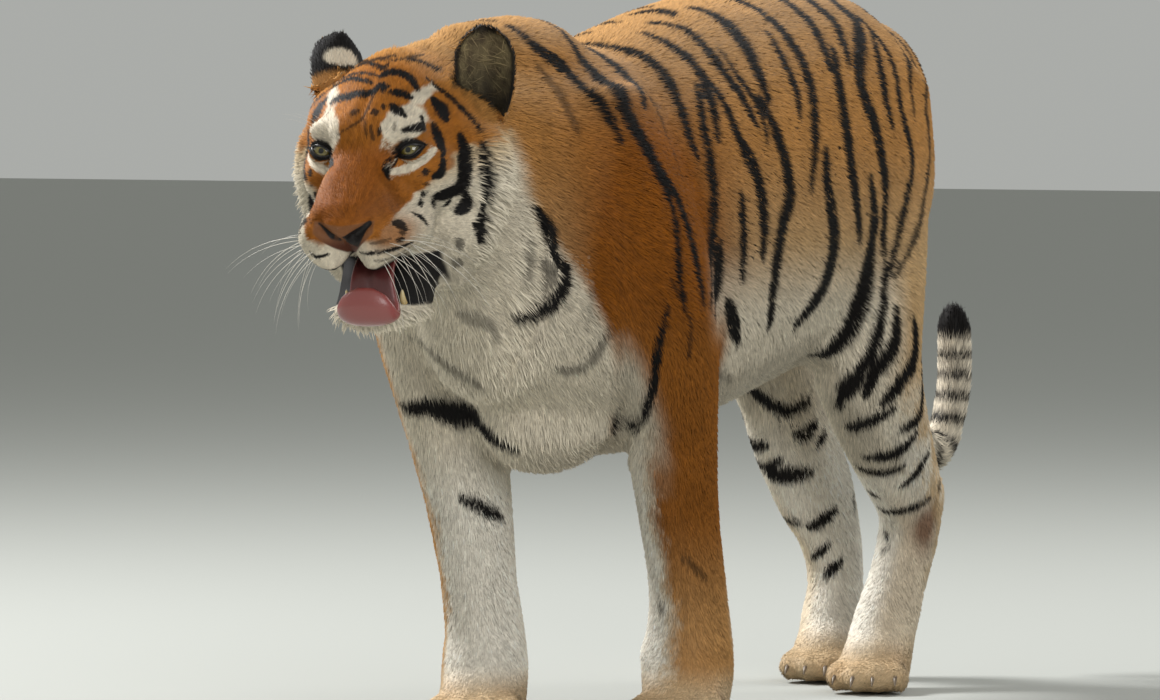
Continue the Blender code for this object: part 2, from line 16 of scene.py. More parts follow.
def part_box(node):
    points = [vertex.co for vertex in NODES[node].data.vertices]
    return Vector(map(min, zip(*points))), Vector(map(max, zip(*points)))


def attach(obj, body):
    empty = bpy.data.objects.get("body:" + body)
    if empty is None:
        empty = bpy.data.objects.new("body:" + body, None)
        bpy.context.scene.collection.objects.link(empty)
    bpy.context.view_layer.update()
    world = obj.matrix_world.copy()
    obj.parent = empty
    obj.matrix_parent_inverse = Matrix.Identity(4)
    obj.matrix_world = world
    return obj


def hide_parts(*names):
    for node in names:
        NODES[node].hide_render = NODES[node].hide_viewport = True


bl_info = {
    "name": "Bengal tiger",
    "version": (1, 0, 0),
    "blender": (4, 5, 0),
    "location": "3D view > Sidebar > Tiger",
    "description": "Builds the visible tiger round its solids",
    "category": "Object",
}

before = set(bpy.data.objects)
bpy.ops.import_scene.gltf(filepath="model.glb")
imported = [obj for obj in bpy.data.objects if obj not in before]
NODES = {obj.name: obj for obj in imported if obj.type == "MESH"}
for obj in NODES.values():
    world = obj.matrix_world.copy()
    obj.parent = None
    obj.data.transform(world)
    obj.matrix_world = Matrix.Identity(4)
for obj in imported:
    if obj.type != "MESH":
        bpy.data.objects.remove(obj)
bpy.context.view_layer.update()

HEAD_PITCH = math.radians(13)      # nose lowered
HEAD_YAW = math.radians(8.5)       # turned a little to its own left
HEAD_ROLL = math.radians(-1)
EYE_OUT = 0.060                    # from the middle of the face to an eye's centre
EYE_BACK = 0.008                   # an eye's centre behind the lids' corners
EYE_RADIUS = 0.0195
SEED = 7
CM = 0.01
MM = 0.001
HEAD_AS_DRAWN = (-0.030, -0.955, 0.782)   # midway between the eyes before centring
EAR_HALF_WIDTH = 0.039
EAR_HEIGHT = 0.120
EAR_WIDEST = 0.60                  # share of its height at which an ear is widest
EAR_CUP = 0.026                    # how far the ear's sides curve forward
EAR_THICKNESS = 0.009
# Each ear: root in the head's axes, then degrees leaning out, laid back and turned out.
LEFT_EAR = ((0.108, 0.160, 0.022), 4, 0, 24)
RIGHT_EAR = ((-0.088, 0.172, 0.030), 20, 42, 122)
LID_HALF_LENGTH = 0.0195
LID_RISE = 0.0054
LID_DROP = 0.0078
LID_TILT = 19                      # degrees that the eyes slant
PAW_LENGTH = 0.170
CLAW_LENGTH = 0.016
# Each paw: where the leg ends, the paw's width, degrees that its toes point left.
PAWS = (((0.130, -0.362), 0.148, 20), ((-0.106, -0.500), 0.148, 20),
        ((0.077, 0.330), 0.124, 16), ((-0.075, 0.485), 0.124, 16))
SNOUT_TURN = 0.07                  # sideways lean of the snout, per metre ahead
HEAD_DEPTH = 0.24                  # how far the head's own forms reach behind the eyes
NAPE_DEPTH = 0.26                  # how far its coat does
FLESH = [name for name in NODES
         if name.split("_")[0] not in ("eye", "canine", "tongue")]


# ---- small tools -------------------------------------------------------------------
def centre_of(node):
    low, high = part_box(node)
    return (Vector(low) + Vector(high)) / 2


def head_matrix():
    """From the head's axes to the row frame, placed by the two eyes."""
    turn = (Matrix.Rotation(HEAD_YAW, 4, "Z") @ Matrix.Rotation(HEAD_ROLL, 4, "Y")
            @ Matrix.Rotation(HEAD_PITCH, 4, "X"))
    middle = (centre_of("eye_left") + centre_of("eye_right")) / 2
    return Matrix.Translation(middle - turn @ Vector((0, EYE_BACK, 0))) @ turn


HEAD = head_matrix()
HEAD_TURN = np.array(HEAD.to_3x3())
HEAD_SPOT = np.array(HEAD.translation)


def ear_stand(root, splay, laid, swivel):
    """An ear's own axes: up along the ear, its opening towards -Y."""
    side = math.copysign(1, root[0])
    return (HEAD @ Matrix.Translation(root)
            @ Matrix.Rotation(side * math.radians(splay), 4, "Y")
            @ Matrix.Rotation(-math.radians(laid), 4, "X")
            @ Matrix.Rotation(side * math.radians(swivel), 4, "Z"))


def ear_reach(rise):
    """Half the ear's width at a share of its height."""
    span = np.where(rise > EAR_WIDEST, 1.02 - EAR_WIDEST, 0.72)
    return EAR_HALF_WIDTH * np.sqrt(np.clip(1 - ((rise - EAR_WIDEST) / span) ** 2, 0, 1))


BUILD_SHIFT = HEAD_SPOT - np.array(HEAD_AS_DRAWN)      # how far centring moved the body


def snout_lean(local):
    """How far the snout leans sideways, more towards its tip and not on the jaw."""
    return SNOUT_TURN * np.minimum(local[:, 1] + 0.010, 0) * step(local[:, 2], -0.135, -0.120)


def unturned(local):
    """Places on the snout with its sideways lean taken out."""
    result = local.copy()
    result[:, 0] -= snout_lean(local)
    return result


def to_head(points):
    return (points - HEAD_SPOT) @ HEAD_TURN


def from_head(points):
    return points @ HEAD_TURN.T + HEAD_SPOT


def colour(code):
    """An sRGB hex colour as linear red, green, blue."""
    parts = [int(code[i:i + 2], 16) / 255 for i in (1, 3, 5)]
    return np.array([c / 12.92 if c <= 0.04045 else ((c + 0.055) / 1.055) ** 2.4
                     for c in parts])


def step(value, low, high):
    """0 at low, 1 at high, eased between; high may lie below low."""
    t = np.clip((value - low) / (high - low), 0.0, 1.0)
    return t * t * (3 - 2 * t)


def mix(one, two, share):
    return one + (two - one) * np.asarray(share)[..., None]


def before_nape(points):
    return points[:, 1] < HEAD_SPOT[1] + NAPE_DEPTH


def blob(points, centre, radii):
    """1 at centre, falling off as a bell with the given radii."""
    away = (points - np.array(centre)) / np.array(radii)
    return np.exp(-(away ** 2).sum(axis=1))


def grain(points, size, seed=0):
    """Smooth value noise from -1 to 1 with lumps of the given size."""
    scaled = points / size + 57.3 * (seed + 1)
    cell = np.floor(scaled).astype(np.int64)
    part = scaled - cell
    part = part * part * (3 - 2 * part)
    total = np.zeros(len(points))
    for corner in range(8):
        bits = np.array([corner & 1, corner >> 1 & 1, corner >> 2 & 1])
        at = cell + bits
        code = (at[:, 0] * 73856093) ^ (at[:, 1] * 19349663) ^ (at[:, 2] * 83492791)
        code = (code ^ (code >> 13)) * 1274126177 & 0x7FFFFFFF
        value = (code ^ (code >> 16)) & 0xFFFF
        weight = np.prod(np.where(bits, part, 1 - part), axis=1)
        total += weight * value / 65535.0
    return 2 * total - 1


def near_line(points, line):
    """Distance to a line of points, and how far along it, from 0 to 1."""
    line = np.array(line, float)
    spans = np.linalg.norm(np.diff(line, axis=0), axis=1)
    starts = np.concatenate([[0], np.cumsum(spans)])
    best = np.full(len(points), 1e9)
    along = np.zeros(len(points))
    for a, b, start, span in zip(line, line[1:], starts, spans):
        share = np.clip((points - a) @ (b - a) / max(span * span, 1e-12), 0, 1)
        away = np.linalg.norm(points - a - share[:, None] * (b - a), axis=1)
        closer = away < best
        best[closer] = away[closer]
        along[closer] = (start + share * span)[closer] / max(starts[-1], 1e-9)
    return best, along


def unit(vectors):
    return vectors / np.maximum(np.linalg.norm(vectors, axis=-1, keepdims=True), 1e-9)


def places(mesh):
    found = np.empty(len(mesh.vertices) * 3, np.float32)
    mesh.vertices.foreach_get("co", found)
    return found.reshape(-1, 3).astype(float)


def normals_of(mesh):
    found = np.empty(len(mesh.vertices) * 3, np.float32)
    mesh.vertex_normals.foreach_get("vector", found)
    return found.reshape(-1, 3).astype(float)


def put_places(mesh, points):
    mesh.vertices.foreach_set("co", points.astype(np.float32).ravel())
    mesh.update()


def link(mesh, name):
    made = bpy.data.objects.new(name, mesh)
    bpy.context.scene.collection.objects.link(made)
    return made


def settle(item):
    """Turn an object's modifiers into plain mesh."""
    state = bpy.context.evaluated_depsgraph_get()
    mesh = bpy.data.meshes.new_from_object(item.evaluated_get(state))
    old = item.data
    item.modifiers.clear()
    item.data = mesh
    if old.users == 0:
        bpy.data.meshes.remove(old)


def tinted(mesh, name, colours):
    """Store one linear colour for each vertex."""
    layer = mesh.color_attributes.new(name, "FLOAT_COLOR", "POINT")
    full = np.ones((len(colours), 4), np.float32)
    full[:, :3] = colours
    layer.data.foreach_set("color", full.ravel())


def lay_mesh(name, points, triangles):
    """A mesh from arrays of points and of triangles."""
    mesh = bpy.data.meshes.new(name)
    count = len(triangles)
    mesh.vertices.add(len(points))
    mesh.vertices.foreach_set("co", points.astype(np.float32).ravel())
    mesh.loops.add(count * 3)
    mesh.loops.foreach_set("vertex_index", triangles.astype(np.int32).ravel())
    mesh.polygons.add(count)
    mesh.polygons.foreach_set("loop_start", np.arange(0, count * 3, 3, dtype=np.int32))
    mesh.update(calc_edges=True)
    return mesh


# ---- markings ----------------------------------------------------------------------
PALETTE = {}                       # the colours set in the panel
BUFF = colour("#C4A274")
LEG_WHITE = colour("#F2EADB")
CREAM = colour("#D9C09A")
BRIDGE = colour("#925112")
BROWN = colour("#5B3216")
LIP = colour("#15100F")
PAD_BROWN = colour("#7C4E2A")
PAD_DARK = colour("#4E2818")
TOOTH_ROOT = colour("#A07A34")

# Stripes of the left side: width in mm, strength, then places (left, back, up) in cm.
FLANK = (
    (11, 1, (1, -51, 94), (6, -50, 92), (8, -45, 89), (12, -45, 85.5), (15, -44, 79.5)),
    (15, 1, (.5, -40, 93), (6, -39.5, 91), (10, -39.5, 87.5), (14.5, -41, 82.5),
     (17, -39, 77), (18.5, -37, 72)),
    (7, 1, (18, -38, 75), (19.5, -36.5, 69), (20, -36.5, 61.5), (20, -35, 57)),
    (9, 1, (17.5, -38, 76.5), (18.5, -35, 72), (19.5, -32.5, 66.5), (20, -30, 57)),
    (13, 1, (1, -32, 92.5), (5.5, -32.5, 91), (9, -32, 89), (13, -34.5, 85.5), (14.5, -36, 84)),
    (4, .8, (10.5, -30.5, 87), (12.5, -29.5, 83.5), (15.5, -31, 79), (17, -31, 74)),
    (12, 1, (0, -25.5, 93), (4, -25, 92), (7.5, -23.5, 90.5), (11.5, -23.5, 87.5),
     (15, -24.5, 80), (16, -24, 77)),
    (12, 1, (4, -17, 94), (8, -16.5, 92), (11, -15.5, 89.5), (14.5, -16.5, 84.5), (16, -18, 79)),
    (11, 1, (2.5, -12, 95), (6, -10, 94.5), (9.5, -10, 92), (13, -10, 88.5), (16.5, -7, 81)),
    (9, 1, (12, -15, 88), (15, -13.5, 84), (16.5, -12.5, 79), (17.5, -11, 74.5)),
    (7, 1, (11, -7.5, 91.5), (14, -7, 87), (16, -5, 83), (17, -5, 78.5)),
    (16, 1, (3, -1, 97), (7, -.5, 96), (10.5, -1, 93), (14.5, -2, 87), (15.5, -2, 84.5)),
    (14, 1, (0, -5, 97), (3, -6.5, 96)),
    (16, 1, (15.5, -4, 84.5), (17, -2, 79.5), (18, 0, 72), (18, -2.5, 67), (17.5, -4, 60),
     (16, -3, 53.5)),
    (14, 1, (16.5, -12, 79), (17.5, -9.5, 75), (18, -8, 69.5), (18, -8, 63)),
    (11, 1, (17.5, -14, 71.5), (18, -14, 66), (17.5, -13.5, 60)),
    (13, 1, (1, 9, 98.5), (6.5, 10, 97.5), (11.5, 11, 94), (14.5, 11.5, 88), (16.5, 10.5, 83),
     (18, 6.5, 72)),
    (10, 1, (11, 7, 94), (14, 6.5, 89.5), (16, 6.5, 85), (16.5, 5.5, 82)),
    (12, 1, (2, 20, 98.5), (8, 20, 97.5), (11, 20.5, 94.5), (14.5, 19, 88.5)),
    (13, 1, (1, 27.5, 98.5), (8, 27, 97.5), (11, 28, 95), (14, 25.5, 89)),
    (15, 1, (13.5, 22.5, 91.5), (15.5, 20, 85.5), (17, 20, 76), (17, 24, 64.5)),
    (16, 1, (0, 35, 98.5), (8, 34.5, 97.5), (11, 35, 94.5), (15, 27.5, 87), (16.5, 29.5, 81),
     (16.5, 32.5, 72),
     (16.5, 32.5, 63)),
    (11, 1, (11, 38.5, 93.5), (14, 36, 89), (15.5, 35, 84), (16, 36, 80)),
    (10, 1, (9.5, 37.5, 96), (13, 41, 90), (15.5, 40, 82.5), (15.5, 43, 74.5), (16.5, 37, 65),
     (17, 31.5, 58)),
    (8, 1, (.5, 45.5, 98), (6.5, 46.5, 96.5), (9, 50.5, 92), (13.5, 46.5, 87), (15, 45, 81)),
    (9, .9, (.5, 51, 97), (5, 52, 95), (8, 56.5, 90.5), (12, 52, 83.5), (13, 53.5, 76.5),
     (15, 46.5, 67.5),
     (17, 34, 59)),
    (8, .9, (3, 60, 93), (7.5, 60, 90), (8, 64, 84)),
    (18, 1, (17.5, 12, 77), (18, 12, 72), (17.5, 14.5, 65.5), (16.5, 13.5, 58.5), (15.5, 7, 53)),
    (17, 1, (17, 27, 73), (16.5, 29, 66.5), (16, 27.5, 58), (14, 24.5, 51), (11.5, 20.5, 47.5)),
    (12, 1, (13, -18, 86.5), (15, -20.5, 81), (17.5, -21.5, 71), (18, -23.5, 63), (19, -27, 57)),
    (16, 1, (17.5, -20.5, 65), (17.5, -21, 60), (18.5, -24, 55.5)),
    (16, 1, (17.5, -17.5, 57), (17, -15, 54.5), (16, -12, 51.5)),
    (8, .5, (18, -22, 48), (13, -9, 46)),
    (9, .6, (6.5, -51, 89.5), (8.5, -50, 86.5), (11, -49.5, 82)),
    (8, .6, (9.5, -50, 84), (11, -49, 80.5)),
    (9, .9, (2, 67, 84), (7, 67, 79), (11, 63, 72)),
    (9, .9, (3, 70, 76), (8, 68, 70), (13, 62, 63)),
)
HIND_LEG = (
    (11, 1, (16.5, 32.5, 61.5), (17, 30.5, 54), (16, 28.5, 48.5), (13.5, 26.5, 44),
     (10, 28.5, 40)),
    (17, 1, (15, 27, 46), (12, 27, 42)),
    (15, 1, (17.5, 34, 54.5), (17.5, 33, 49.5), (16.5, 29.5, 46), (15, 29, 42.5)),
    (15, 1, (17.5, 39.5, 53), (17.5, 39.5, 48), (17.5, 35.5, 44.5), (16.5, 32, 41.5)),
    (10, 1, (17.5, 44, 47), (16.5, 43.5, 40), (16.5, 37.5, 37.5)),
    (11, 1, (17, 34.5, 40.5), (14.5, 31, 38.5), (10, 30.5, 37)),
    (11, 1, (16.5, 42.5, 37), (15.5, 39.5, 34.5), (13.5, 36, 33.5), (11.5, 35, 33.5)),
    (9, 1, (15.5, 49, 34), (15, 46, 31.5), (13.5, 43.5, 29)),
    (9, 1, (9, 37, 32), (12.5, 38.5, 31), (15, 41.5, 32)),
    (8, 1, (8, 43, 28), (9.5, 43, 27.5)),
    (8, 1, (8, 46.5, 25.5), (11.5, 47.5, 25.5), (14, 52, 27)),
    (6, 1, (6, 50, 22.5), (7.5, 50.5, 21.5)),
    (4, .7, (6.5, 50, 19.5), (8, 50, 20.5)),
    (9, .8, (13.5, 55, 28.5), (11, 58, 29)),
    (10, .9, (5, 68, 66), (10, 66, 60), (15, 58, 56)),
    (9, .9, (7, 65, 57), (11, 63, 53), (15.5, 55, 50)),
    (8, .9, (9, 62, 49), (13, 60, 45), (16, 53, 43)),
    (7, .9, (9, 61, 41), (13, 60, 38), (15, 55, 36)),
)
RIGHT_LEGS = (
    (11, 1, (-13, 44, 42), (-10.5, 48, 40), (-8, 51, 39), (-6.5, 55, 40.5)),
    (12, 1, (-8, 52.5, 35.5), (-7, 54, 35.5), (-6.5, 57, 37)),
    (9, 1, (-6.5, 57, 34), (-5.5, 60, 36)),
    (15, 1, (-12.5, 53, 29.5), (-9, 53, 29.5), (-7, 56, 30)),
    (12, 1, (-8.5, 58, 22), (-7, 62, 24.5)),
    (8, 1, (-10, 61.5, 17), (-7, 61.5, 19.5)),
    (9, 1, (-8, 62, 15), (-6, 63.5, 17)),
    (6, .8, (-6, 68, 26.5), (-5.5, 67, 24)),
    (17, 1, (-17, -47, 43), (-12.5, -47.5, 43), (-9.5, -45, 42), (-5, -47, 39.5), (-.5, -47, 37)),
    (10, 1, (-10.5, -42, 31), (-8.5, -39, 29.5), (-7.5, -35.5, 28)),
    (10, .55, (-12.5, -53, 52.5), (-7.5, -56, 50), (-3.5, -56.5, 48), (-.5, -55.5, 46)),
)
LEFT_FRONT = (
    (8, 1, (19, -38.5, 57), (17.5, -38.5, 51.5), (16, -37, 46), (13, -35.5, 41.5), (8.5, -33, 39)),
    (5, .7, (20, -33.5, 55.5), (19.5, -33, 50)),
    (4, .7, (19.5, -38.5, 61), (20, -36, 58), (20, -33, 54)),
    (6, .6, (14.5, -26, 23), (16.5, -22.5, 20)),
    (6, .7, (10, -25, 16.5), (11, -25, 15.5)),
    (11, 1, (10.5, -58.5, 71), (11, -56, 67.5), (11, -55, 63.5)),
    (13, 1, (11.5, -54.5, 63.5), (12, -53.5, 62), (11.5, -54, 59), (9.5, -56, 56.5),
     (7, -58.5, 55.5)),
    (9, .7, (10.5, -56.5, 63.5), (10.5, -55.5, 61), (10, -56, 59.5)),
    (8, .6, (9.5, -58.5, 66), (9, -58, 62.5), (8.5, -58.5, 60)),
    (10, .6, (13.5, -45, 53.5), (11.5, -46.5, 49.5), (10, -48.5, 48.5), (9, -50.5, 48.5)),
    (6, .3, (13.5, -49, 61.5), (13.5, -49, 57.5), (12.5, -49, 54.5)),
    (12, .45, (-.5, -62, 56), (4, -60.5, 54.5), (4.5, -59, 52.5)),
)
# Marks of the face: width in mm, strength, then places (left, back, up) in mm, head's axes.
BROW = (
    (9, 1, (-61, 40, 60), (-32, 25, 71), (3, 23, 77), (11, 36, 83)),
    (6, 1, (-74, 81, 68), (-48, 66, 82), (-1, 39, 86)),
    (6, 1, (-110, 110, 50), (-80, 105, 74), (-33, 93, 93), (5, 71, 96)),
    (4, 1, (-80, 95, 74), (-17, 61, 92), (9, 51, 91)),
    (6, .9, (-38, 102, 92), (-9, 99, 97), (11, 111, 97)),
    (10, 1, (9, 51, 91), (23, 65, 93), (42, 66, 85), (57, 55, 73)),
    (7, 1, (26, 111, 94), (45, 125, 85), (63, 130, 75)),
    (12, 1, (15, 38, 84), (18, 29, 79)),
    (9, 1, (30, 28, 77), (43, 34, 72), (54, 38, 66)),
    (10, 1, (35, 12, 62), (55, 6, 50)),
    (5, .9, (24, 9, 64), (27, 4, 60)),
    (9, .9, (16, -4, 60), (19, -8, 56)),
    (7, .8, (-16, -8, 57), (-6, -4, 60)),
    (3, .7, (10, 33, 82), (7, 12, 70), (0, -15, 50), (-31, -24, 31)),
    (3, .6, (5, -15, 50), (11, -29, 28)),
    (3.5, .7, (15, -21, 43), (20, -28, 24)),
    (4, .9, (27, -21, 39), (27, -24, 31)),
    (3.5, .6, (47, -11, 44), (47, -22, 26)),
    (8, 1, (59, -16, 33), (69, -8, 35), (78, 12, 33), (71, 28, 41)),
    (3, .8, (-64, 12, 46), (-58, 25, 53)),
    (5, 1, (-109, 65, 13), (-95, 30, 22)),
    (3, .6, (-52, -16, -20), (-58, -25, -42), (-52, -60, -64), (-50, -87, -74)),
    (3.5, 1, (11, -90, -110), (35, -99, -109), (50, -94, -108), (68, -71, -106), (72, -57, -106)),
    (2.5, .6, (32, -96, -120), (48, -88, -120), (66, -68, -117), (74, -50, -114)),
    (3, .6, (31, -101, -96), (44, -98, -94), (56, -92, -92)),
    (5, .9, (61, -84, -96), (67, -75, -97)),
    (3, 1, (-56, -97, -108), (-48, -97, -114), (-30, -96, -111)),
    (4, .8, (-30, 98, 96), (2, 91, 101), (25, 110, 99), (31, 150, 92)),
    (4.5, 1, (27, 104, 97), (39, 118, 92), (48, 129, 84), (58, 139, 78)),
    (5, .9, (-60, 150, 80), (2, 67, 96), (9, 81, 99)),
    (12, .45, (-25, 183, 96), (7, 183, 96), (27, 179, 94), (48, 185, 88)),
)
CHEEK = (
    (12, 1, (77, 60, 58), (86, 56, 48), (94, 52, 32)),
    (10, 1, (82, 38, 28), (88, 35, 10), (98, 28, -7)),
    (6, 1, (59, 89, 79), (100, 78, 50), (120, 95, 18), (135, 89, -3)),
    (12, 1, (134, 82, -8), (138, 72, -47), (140, 70, -63), (131, 69, -92)),
    (14, 1, (108, 63, 5), (111, 66, -14), (110, 57, -39), (103, 48, -62), (87, 5, -61)),
    (9, 1, (97, 21, -10), (99, 19, -20), (97, 11, -30), (91, -2, -33)),
    (8, .95, (82, -9, -21), (83, -10, -26)),
    (4, .9, (81, -12, -40), (83, -10, -42)),
    (6, 1, (77, -13, -52), (79, -11, -56)),
    (6, 1, (73, -14, -61), (76, -16, -65)),
    (5, 1, (86, 2, -64), (82, 9, -77)),
    (6, 1, (95, 43, -73), (88, 36, -82)),
    (11, 1, (110, 57, -72), (107, 57, -86), (98, 47, -92)),
    (5, 1, (69, -37, -69), (78, -33, -75), (85, -22, -91)),
    (13, 1, (128, 69, -98), (125, 64, -121), (123, 65, -138)),
    (7, 1, (118, 55, -111), (122, 60, -120)),
    (8, .7, (100, 39, -128), (100, 42, -142)),
    (13, .6, (87, 50, -163), (92, 54, -166)),
    (9, .95, (58, -80, -75), (65, -72, -79), (69, -69, -85)),
    (4, .8, (64, -79, -87), (69, -72, -91)),
    (8, 1, (42, -19, -4), (37, -25, -11), (33, -27, -20), (31, -30, -30)),
)
EYE_WHITE = (
    (10, 1, (38, -22, -20), (58, -14, -18), (78, 0, -8), (90, 18, 2)),
    (10, 1, (-38, -22, -20), (-58, -14, -18), (-78, 0, -10), (-92, 15, -6)),
)
TAIL_WAY = ((-.021, .723, .68), (-.022, .745, .42), (-.018, .765, .34), (-.002, .80, .308),
            (.010, .84, .335), (.011, .857, .43), (.011, .857, .534))


def curve(spots, pieces=5):
    """A smooth line through a few places."""
    p = np.array(spots, float)
    if len(p) < 3:
        return p
    ends = np.vstack([2 * p[0] - p[1], p, 2 * p[-1] - p[-2]])
    t = np.linspace(0, 1, pieces, endpoint=False)[:, None]
    parts = [0.5 * (2 * b + (c - a) * t + (2 * a - 5 * b + 4 * c - d) * t ** 2
                    + (3 * b - a - 3 * c + d) * t ** 3)
             for a, b, c, d in zip(ends, ends[1:], ends[2:], ends[3:])]
    return np.vstack(parts + [p[-1:]])


def stroke(points, normals, line, width, ragged):
    """How far a painted line covers each point, measured across the surface."""
    cover = np.zeros(len(points))
    line = curve(line)
    near = np.nonzero(((points > line.min(axis=0) - 0.045)
                       & (points < line.max(axis=0) + 0.045)).all(axis=1))[0]
    if not len(near):
        return cover
    p, n = points[near], normals[near]
    spans = np.linalg.norm(np.diff(line, axis=0), axis=1)
    starts = np.concatenate([[0], np.cumsum(spans)])
    best = np.full(len(p), 9.0)
    along = np.zeros(len(p))
    for a, b, start, span in zip(line, line[1:], starts, spans):
        share = np.clip((p - a) @ (b - a) / max(span * span, 1e-12), 0, 1)
        away = p - a - share[:, None] * (b - a)
        deep = (away * n).sum(axis=1)
        flat = np.linalg.norm(away - n * deep[:, None], axis=1)
        flat[np.abs(deep) > 0.05] = 9
        closer = flat < best
        best[closer] = flat[closer]
        along[closer] = (start + share * span)[closer] / max(starts[-1], 1e-9)
    taper = np.sin(np.pi * (0.10 + 0.80 * along)) ** 0.55
    half = 0.5 * width * taper
    cover[near] = step(best + ragged[near], half * 1.12, half * 0.80)
    return cover


def strokes(points, normals, table, scale, ragged, fuller):
    """How far a table's marks cover each point; fuller widens them all."""
    cover = np.zeros(len(points))
    for width, strength, *line in table:
        mark = stroke(points, normals, np.array(line) * scale, width * MM * fuller, ragged)
        cover = np.maximum(cover, mark * strength)
    return cover


def mirrored(points, normals):
    flip = np.array((-1.0, 1.0, 1.0))
    return points * flip, normals * flip


def tail_share(points):
    """1 on the tail, 0 elsewhere, with the way along it."""
    away, along = near_line(points, curve(TAIL_WAY))
    reach = np.where(points[:, 2] > 0.54, 0.038, 0.052)
    return (away < reach) & (points[:, 2] < 0.66) & (points[:, 1] > 0.66), along


def ear_spots(points):
    """The points in the axes of each ear: across, back and up the ear."""
    for ear in (LEFT_EAR, RIGHT_EAR):
        stand = np.array(ear_stand(*ear).inverted())
        yield points @ stand[:3, :3].T + stand[:3, 3], stand[:3, :3]


def ground(points, normals):
    """The coat's colours before any stripe, with painted shade under the belly and painted
    sunlight on the top of the back.
    """
    x, y, z = points.T
    left = x > 0
    outward = normals[:, 0] * np.sign(x)
    hue = mix(BUFF, PALETTE["orange"], step(z, 0.60, 0.80))
    folded = np.column_stack([np.abs(x), y, z])
    rust = np.clip(1.8 * blob(folded, (0.17, -0.36, 0.60), (0.16, 0.17, 0.28)), 0, 1)
    hue = mix(hue, PALETTE["rust"], rust)
    wander = 0.4 * grain(points, 0.030, 8) + 0.35 * grain(points, 0.004, 12)
    flank = step(z, 0.66, 0.54) * step(y, -0.30, -0.20) * step(y, 0.40, 0.30)
    rear = step(z, 0.50, 0.38) * step(y, 0.27, 0.35)
    behind = step(normals[:, 1] + wander, 0.0, 0.5) * step(z, 0.12, 0.20)
    hue = mix(hue, PALETTE["white"], np.maximum(flank, rear * (1 - 0.8 * behind)))
    hind = (y > 0.15) & (z < 0.56)
    inner = step(outward, 0.05, -0.35) * hind
    shin = step(normals[:, 1], 0.15, -0.35) * hind * step(z, 0.46, 0.40)
    hue = mix(hue, PALETTE["white"], np.maximum(inner, shin))
    low = step(z, 0.60, 0.50) * step(y, -0.13, -0.18)
    white_left = step(normals @ np.array((-0.93, -0.36, 0)) + 0.6 * wander, 0.0, 0.65) * left
    white_right = step(normals @ np.array((0.80, -0.60, 0)) + 0.6 * wander, -0.30, 0.15) * ~left
    upper_leg = mix(PALETTE["orange"], PALETTE["rust"], 0.85 * left)
    lower_leg = mix(PALETTE["orange"], BUFF, 0.25)
    outer = mix(upper_leg, lower_leg, step(z, 0.30, 0.12))
    legs = mix(outer, PALETTE["white"], np.maximum(white_left, white_right))
    hue = mix(hue, legs, low)
    # White underside, dimmed to 0.8 of the white as painted shade under the belly.
    belly = step(normals[:, 2], -0.30, -0.65) * (z > 0.31) * step(np.abs(x), 0.17, 0.14)
    hue = mix(hue, PALETTE["white"] * 0.8, belly)
    edge = -0.33 - 0.80 * (z - 0.39)
    chest = step(y - edge, 0.015, -0.015) * step(z, 0.76, 0.70) * step(z, 0.34, 0.40)
    hue = mix(hue, PALETTE["white"], chest * np.where(left, 1, step(x, -0.20, -0.16)))
    pale = step(np.abs(hue - PALETTE["white"]).sum(axis=1), 0.15, 0.0) * step(z, 0.42, 0.28)
    hue = mix(hue, LEG_WHITE, pale)
    buffed = hind * step(outward, -0.1, 0.6) * step(z, 0.34, 0.20)
    hue = mix(hue, CREAM, 0.55 * buffed)
    # Painted sunlight: upward-facing places on the top of the body are lightened towards buff.
    lit = step(normals[:, 2], 0.2, 0.8) * step(z, 0.75, 0.85)
    hue = mix(hue, BUFF, 0.35 * lit)
    toes = step(z, 0.09, 0.04)
    hue = mix(hue, mix(CREAM, PALETTE["orange"], 0.18 + 0.15 * grain(points, 0.03, 3)), toes)
    hock = blob(points, (0.128, 0.53, 0.225), (0.02, 0.03, 0.035))
    hue = mix(hue, BROWN * 1.6, np.clip(1.2 * hock, 0, 0.8))
    return hue


def face_ground(local):
    """The head's colours before any stripe, in the head's axes."""
    wander = grain(local, 0.014, 9)
    x, y, z = unturned(local).T
    ax = np.abs(x)
    hue = np.tile(PALETTE["face"], (len(local), 1))
    bridge = step(ax, 0.055, 0.030) * step(y, 0.02, -0.03) * step(z, 0.03, 0.0)
    hue = mix(hue, BRIDGE, bridge * 0.8)
    crown = step(y, 0.06, 0.14)
    hue = mix(hue, PALETTE["orange"], crown)
    folded = np.column_stack([ax, y, z])
    brow = np.maximum.reduce([blob(folded, (0.058, 0.000, 0.040), (0.026, 0.050, 0.026)),
                              blob(folded, (0.040, -0.010, 0.030), (0.012, 0.040, 0.026)),
                              blob(folded, (0.068, 0.040, 0.066), (0.020, 0.050, 0.014))])
    hue = mix(hue, PALETTE["white"], step(brow + 0.25 * wander, 0.38, 0.58))
    line = np.interp(ax, (0.030, 0.050, 0.065, 0.090, 0.110),
                     (-0.096, -0.090, -0.052, -0.034, -0.014))
    cheek = step(z - line + 0.012 * wander, 0.006, -0.006)
    behind = step(ax, 0.095, 0.110) * step(z, -0.006, -0.034)
    cheek_white = mix(CREAM, PALETTE["white"], step(z, -0.015, -0.060))
    hue = mix(hue, cheek_white, np.maximum(cheek, behind))
    warm = blob(folded, (0.056, -0.078, -0.088), (0.026, 0.040, 0.018)) * step(x, -0.03, 0.0)
    hue = mix(hue, PALETTE["face"], np.clip(1.3 * warm, 0, 0.85))
    # Painted shade: both sides of the muzzle below the eyes are darkened towards brown, outside
    # the white cheeks.
    muzzle_shade = blob(folded, (0.052, -0.062, -0.052), (0.020, 0.036, 0.022))
    hue = mix(hue, BROWN * 2.0, np.clip(0.75 * muzzle_shade, 0, 0.6) * (1 - cheek))
    tint = step(ax, 0.150, 0.165) * step(y, 0.10, 0.14)
    hue = mix(hue, CREAM * 0.9, tint)
    return hue


def eye_centre(side):
    return np.array((side * EYE_OUT, EYE_BACK, 0))


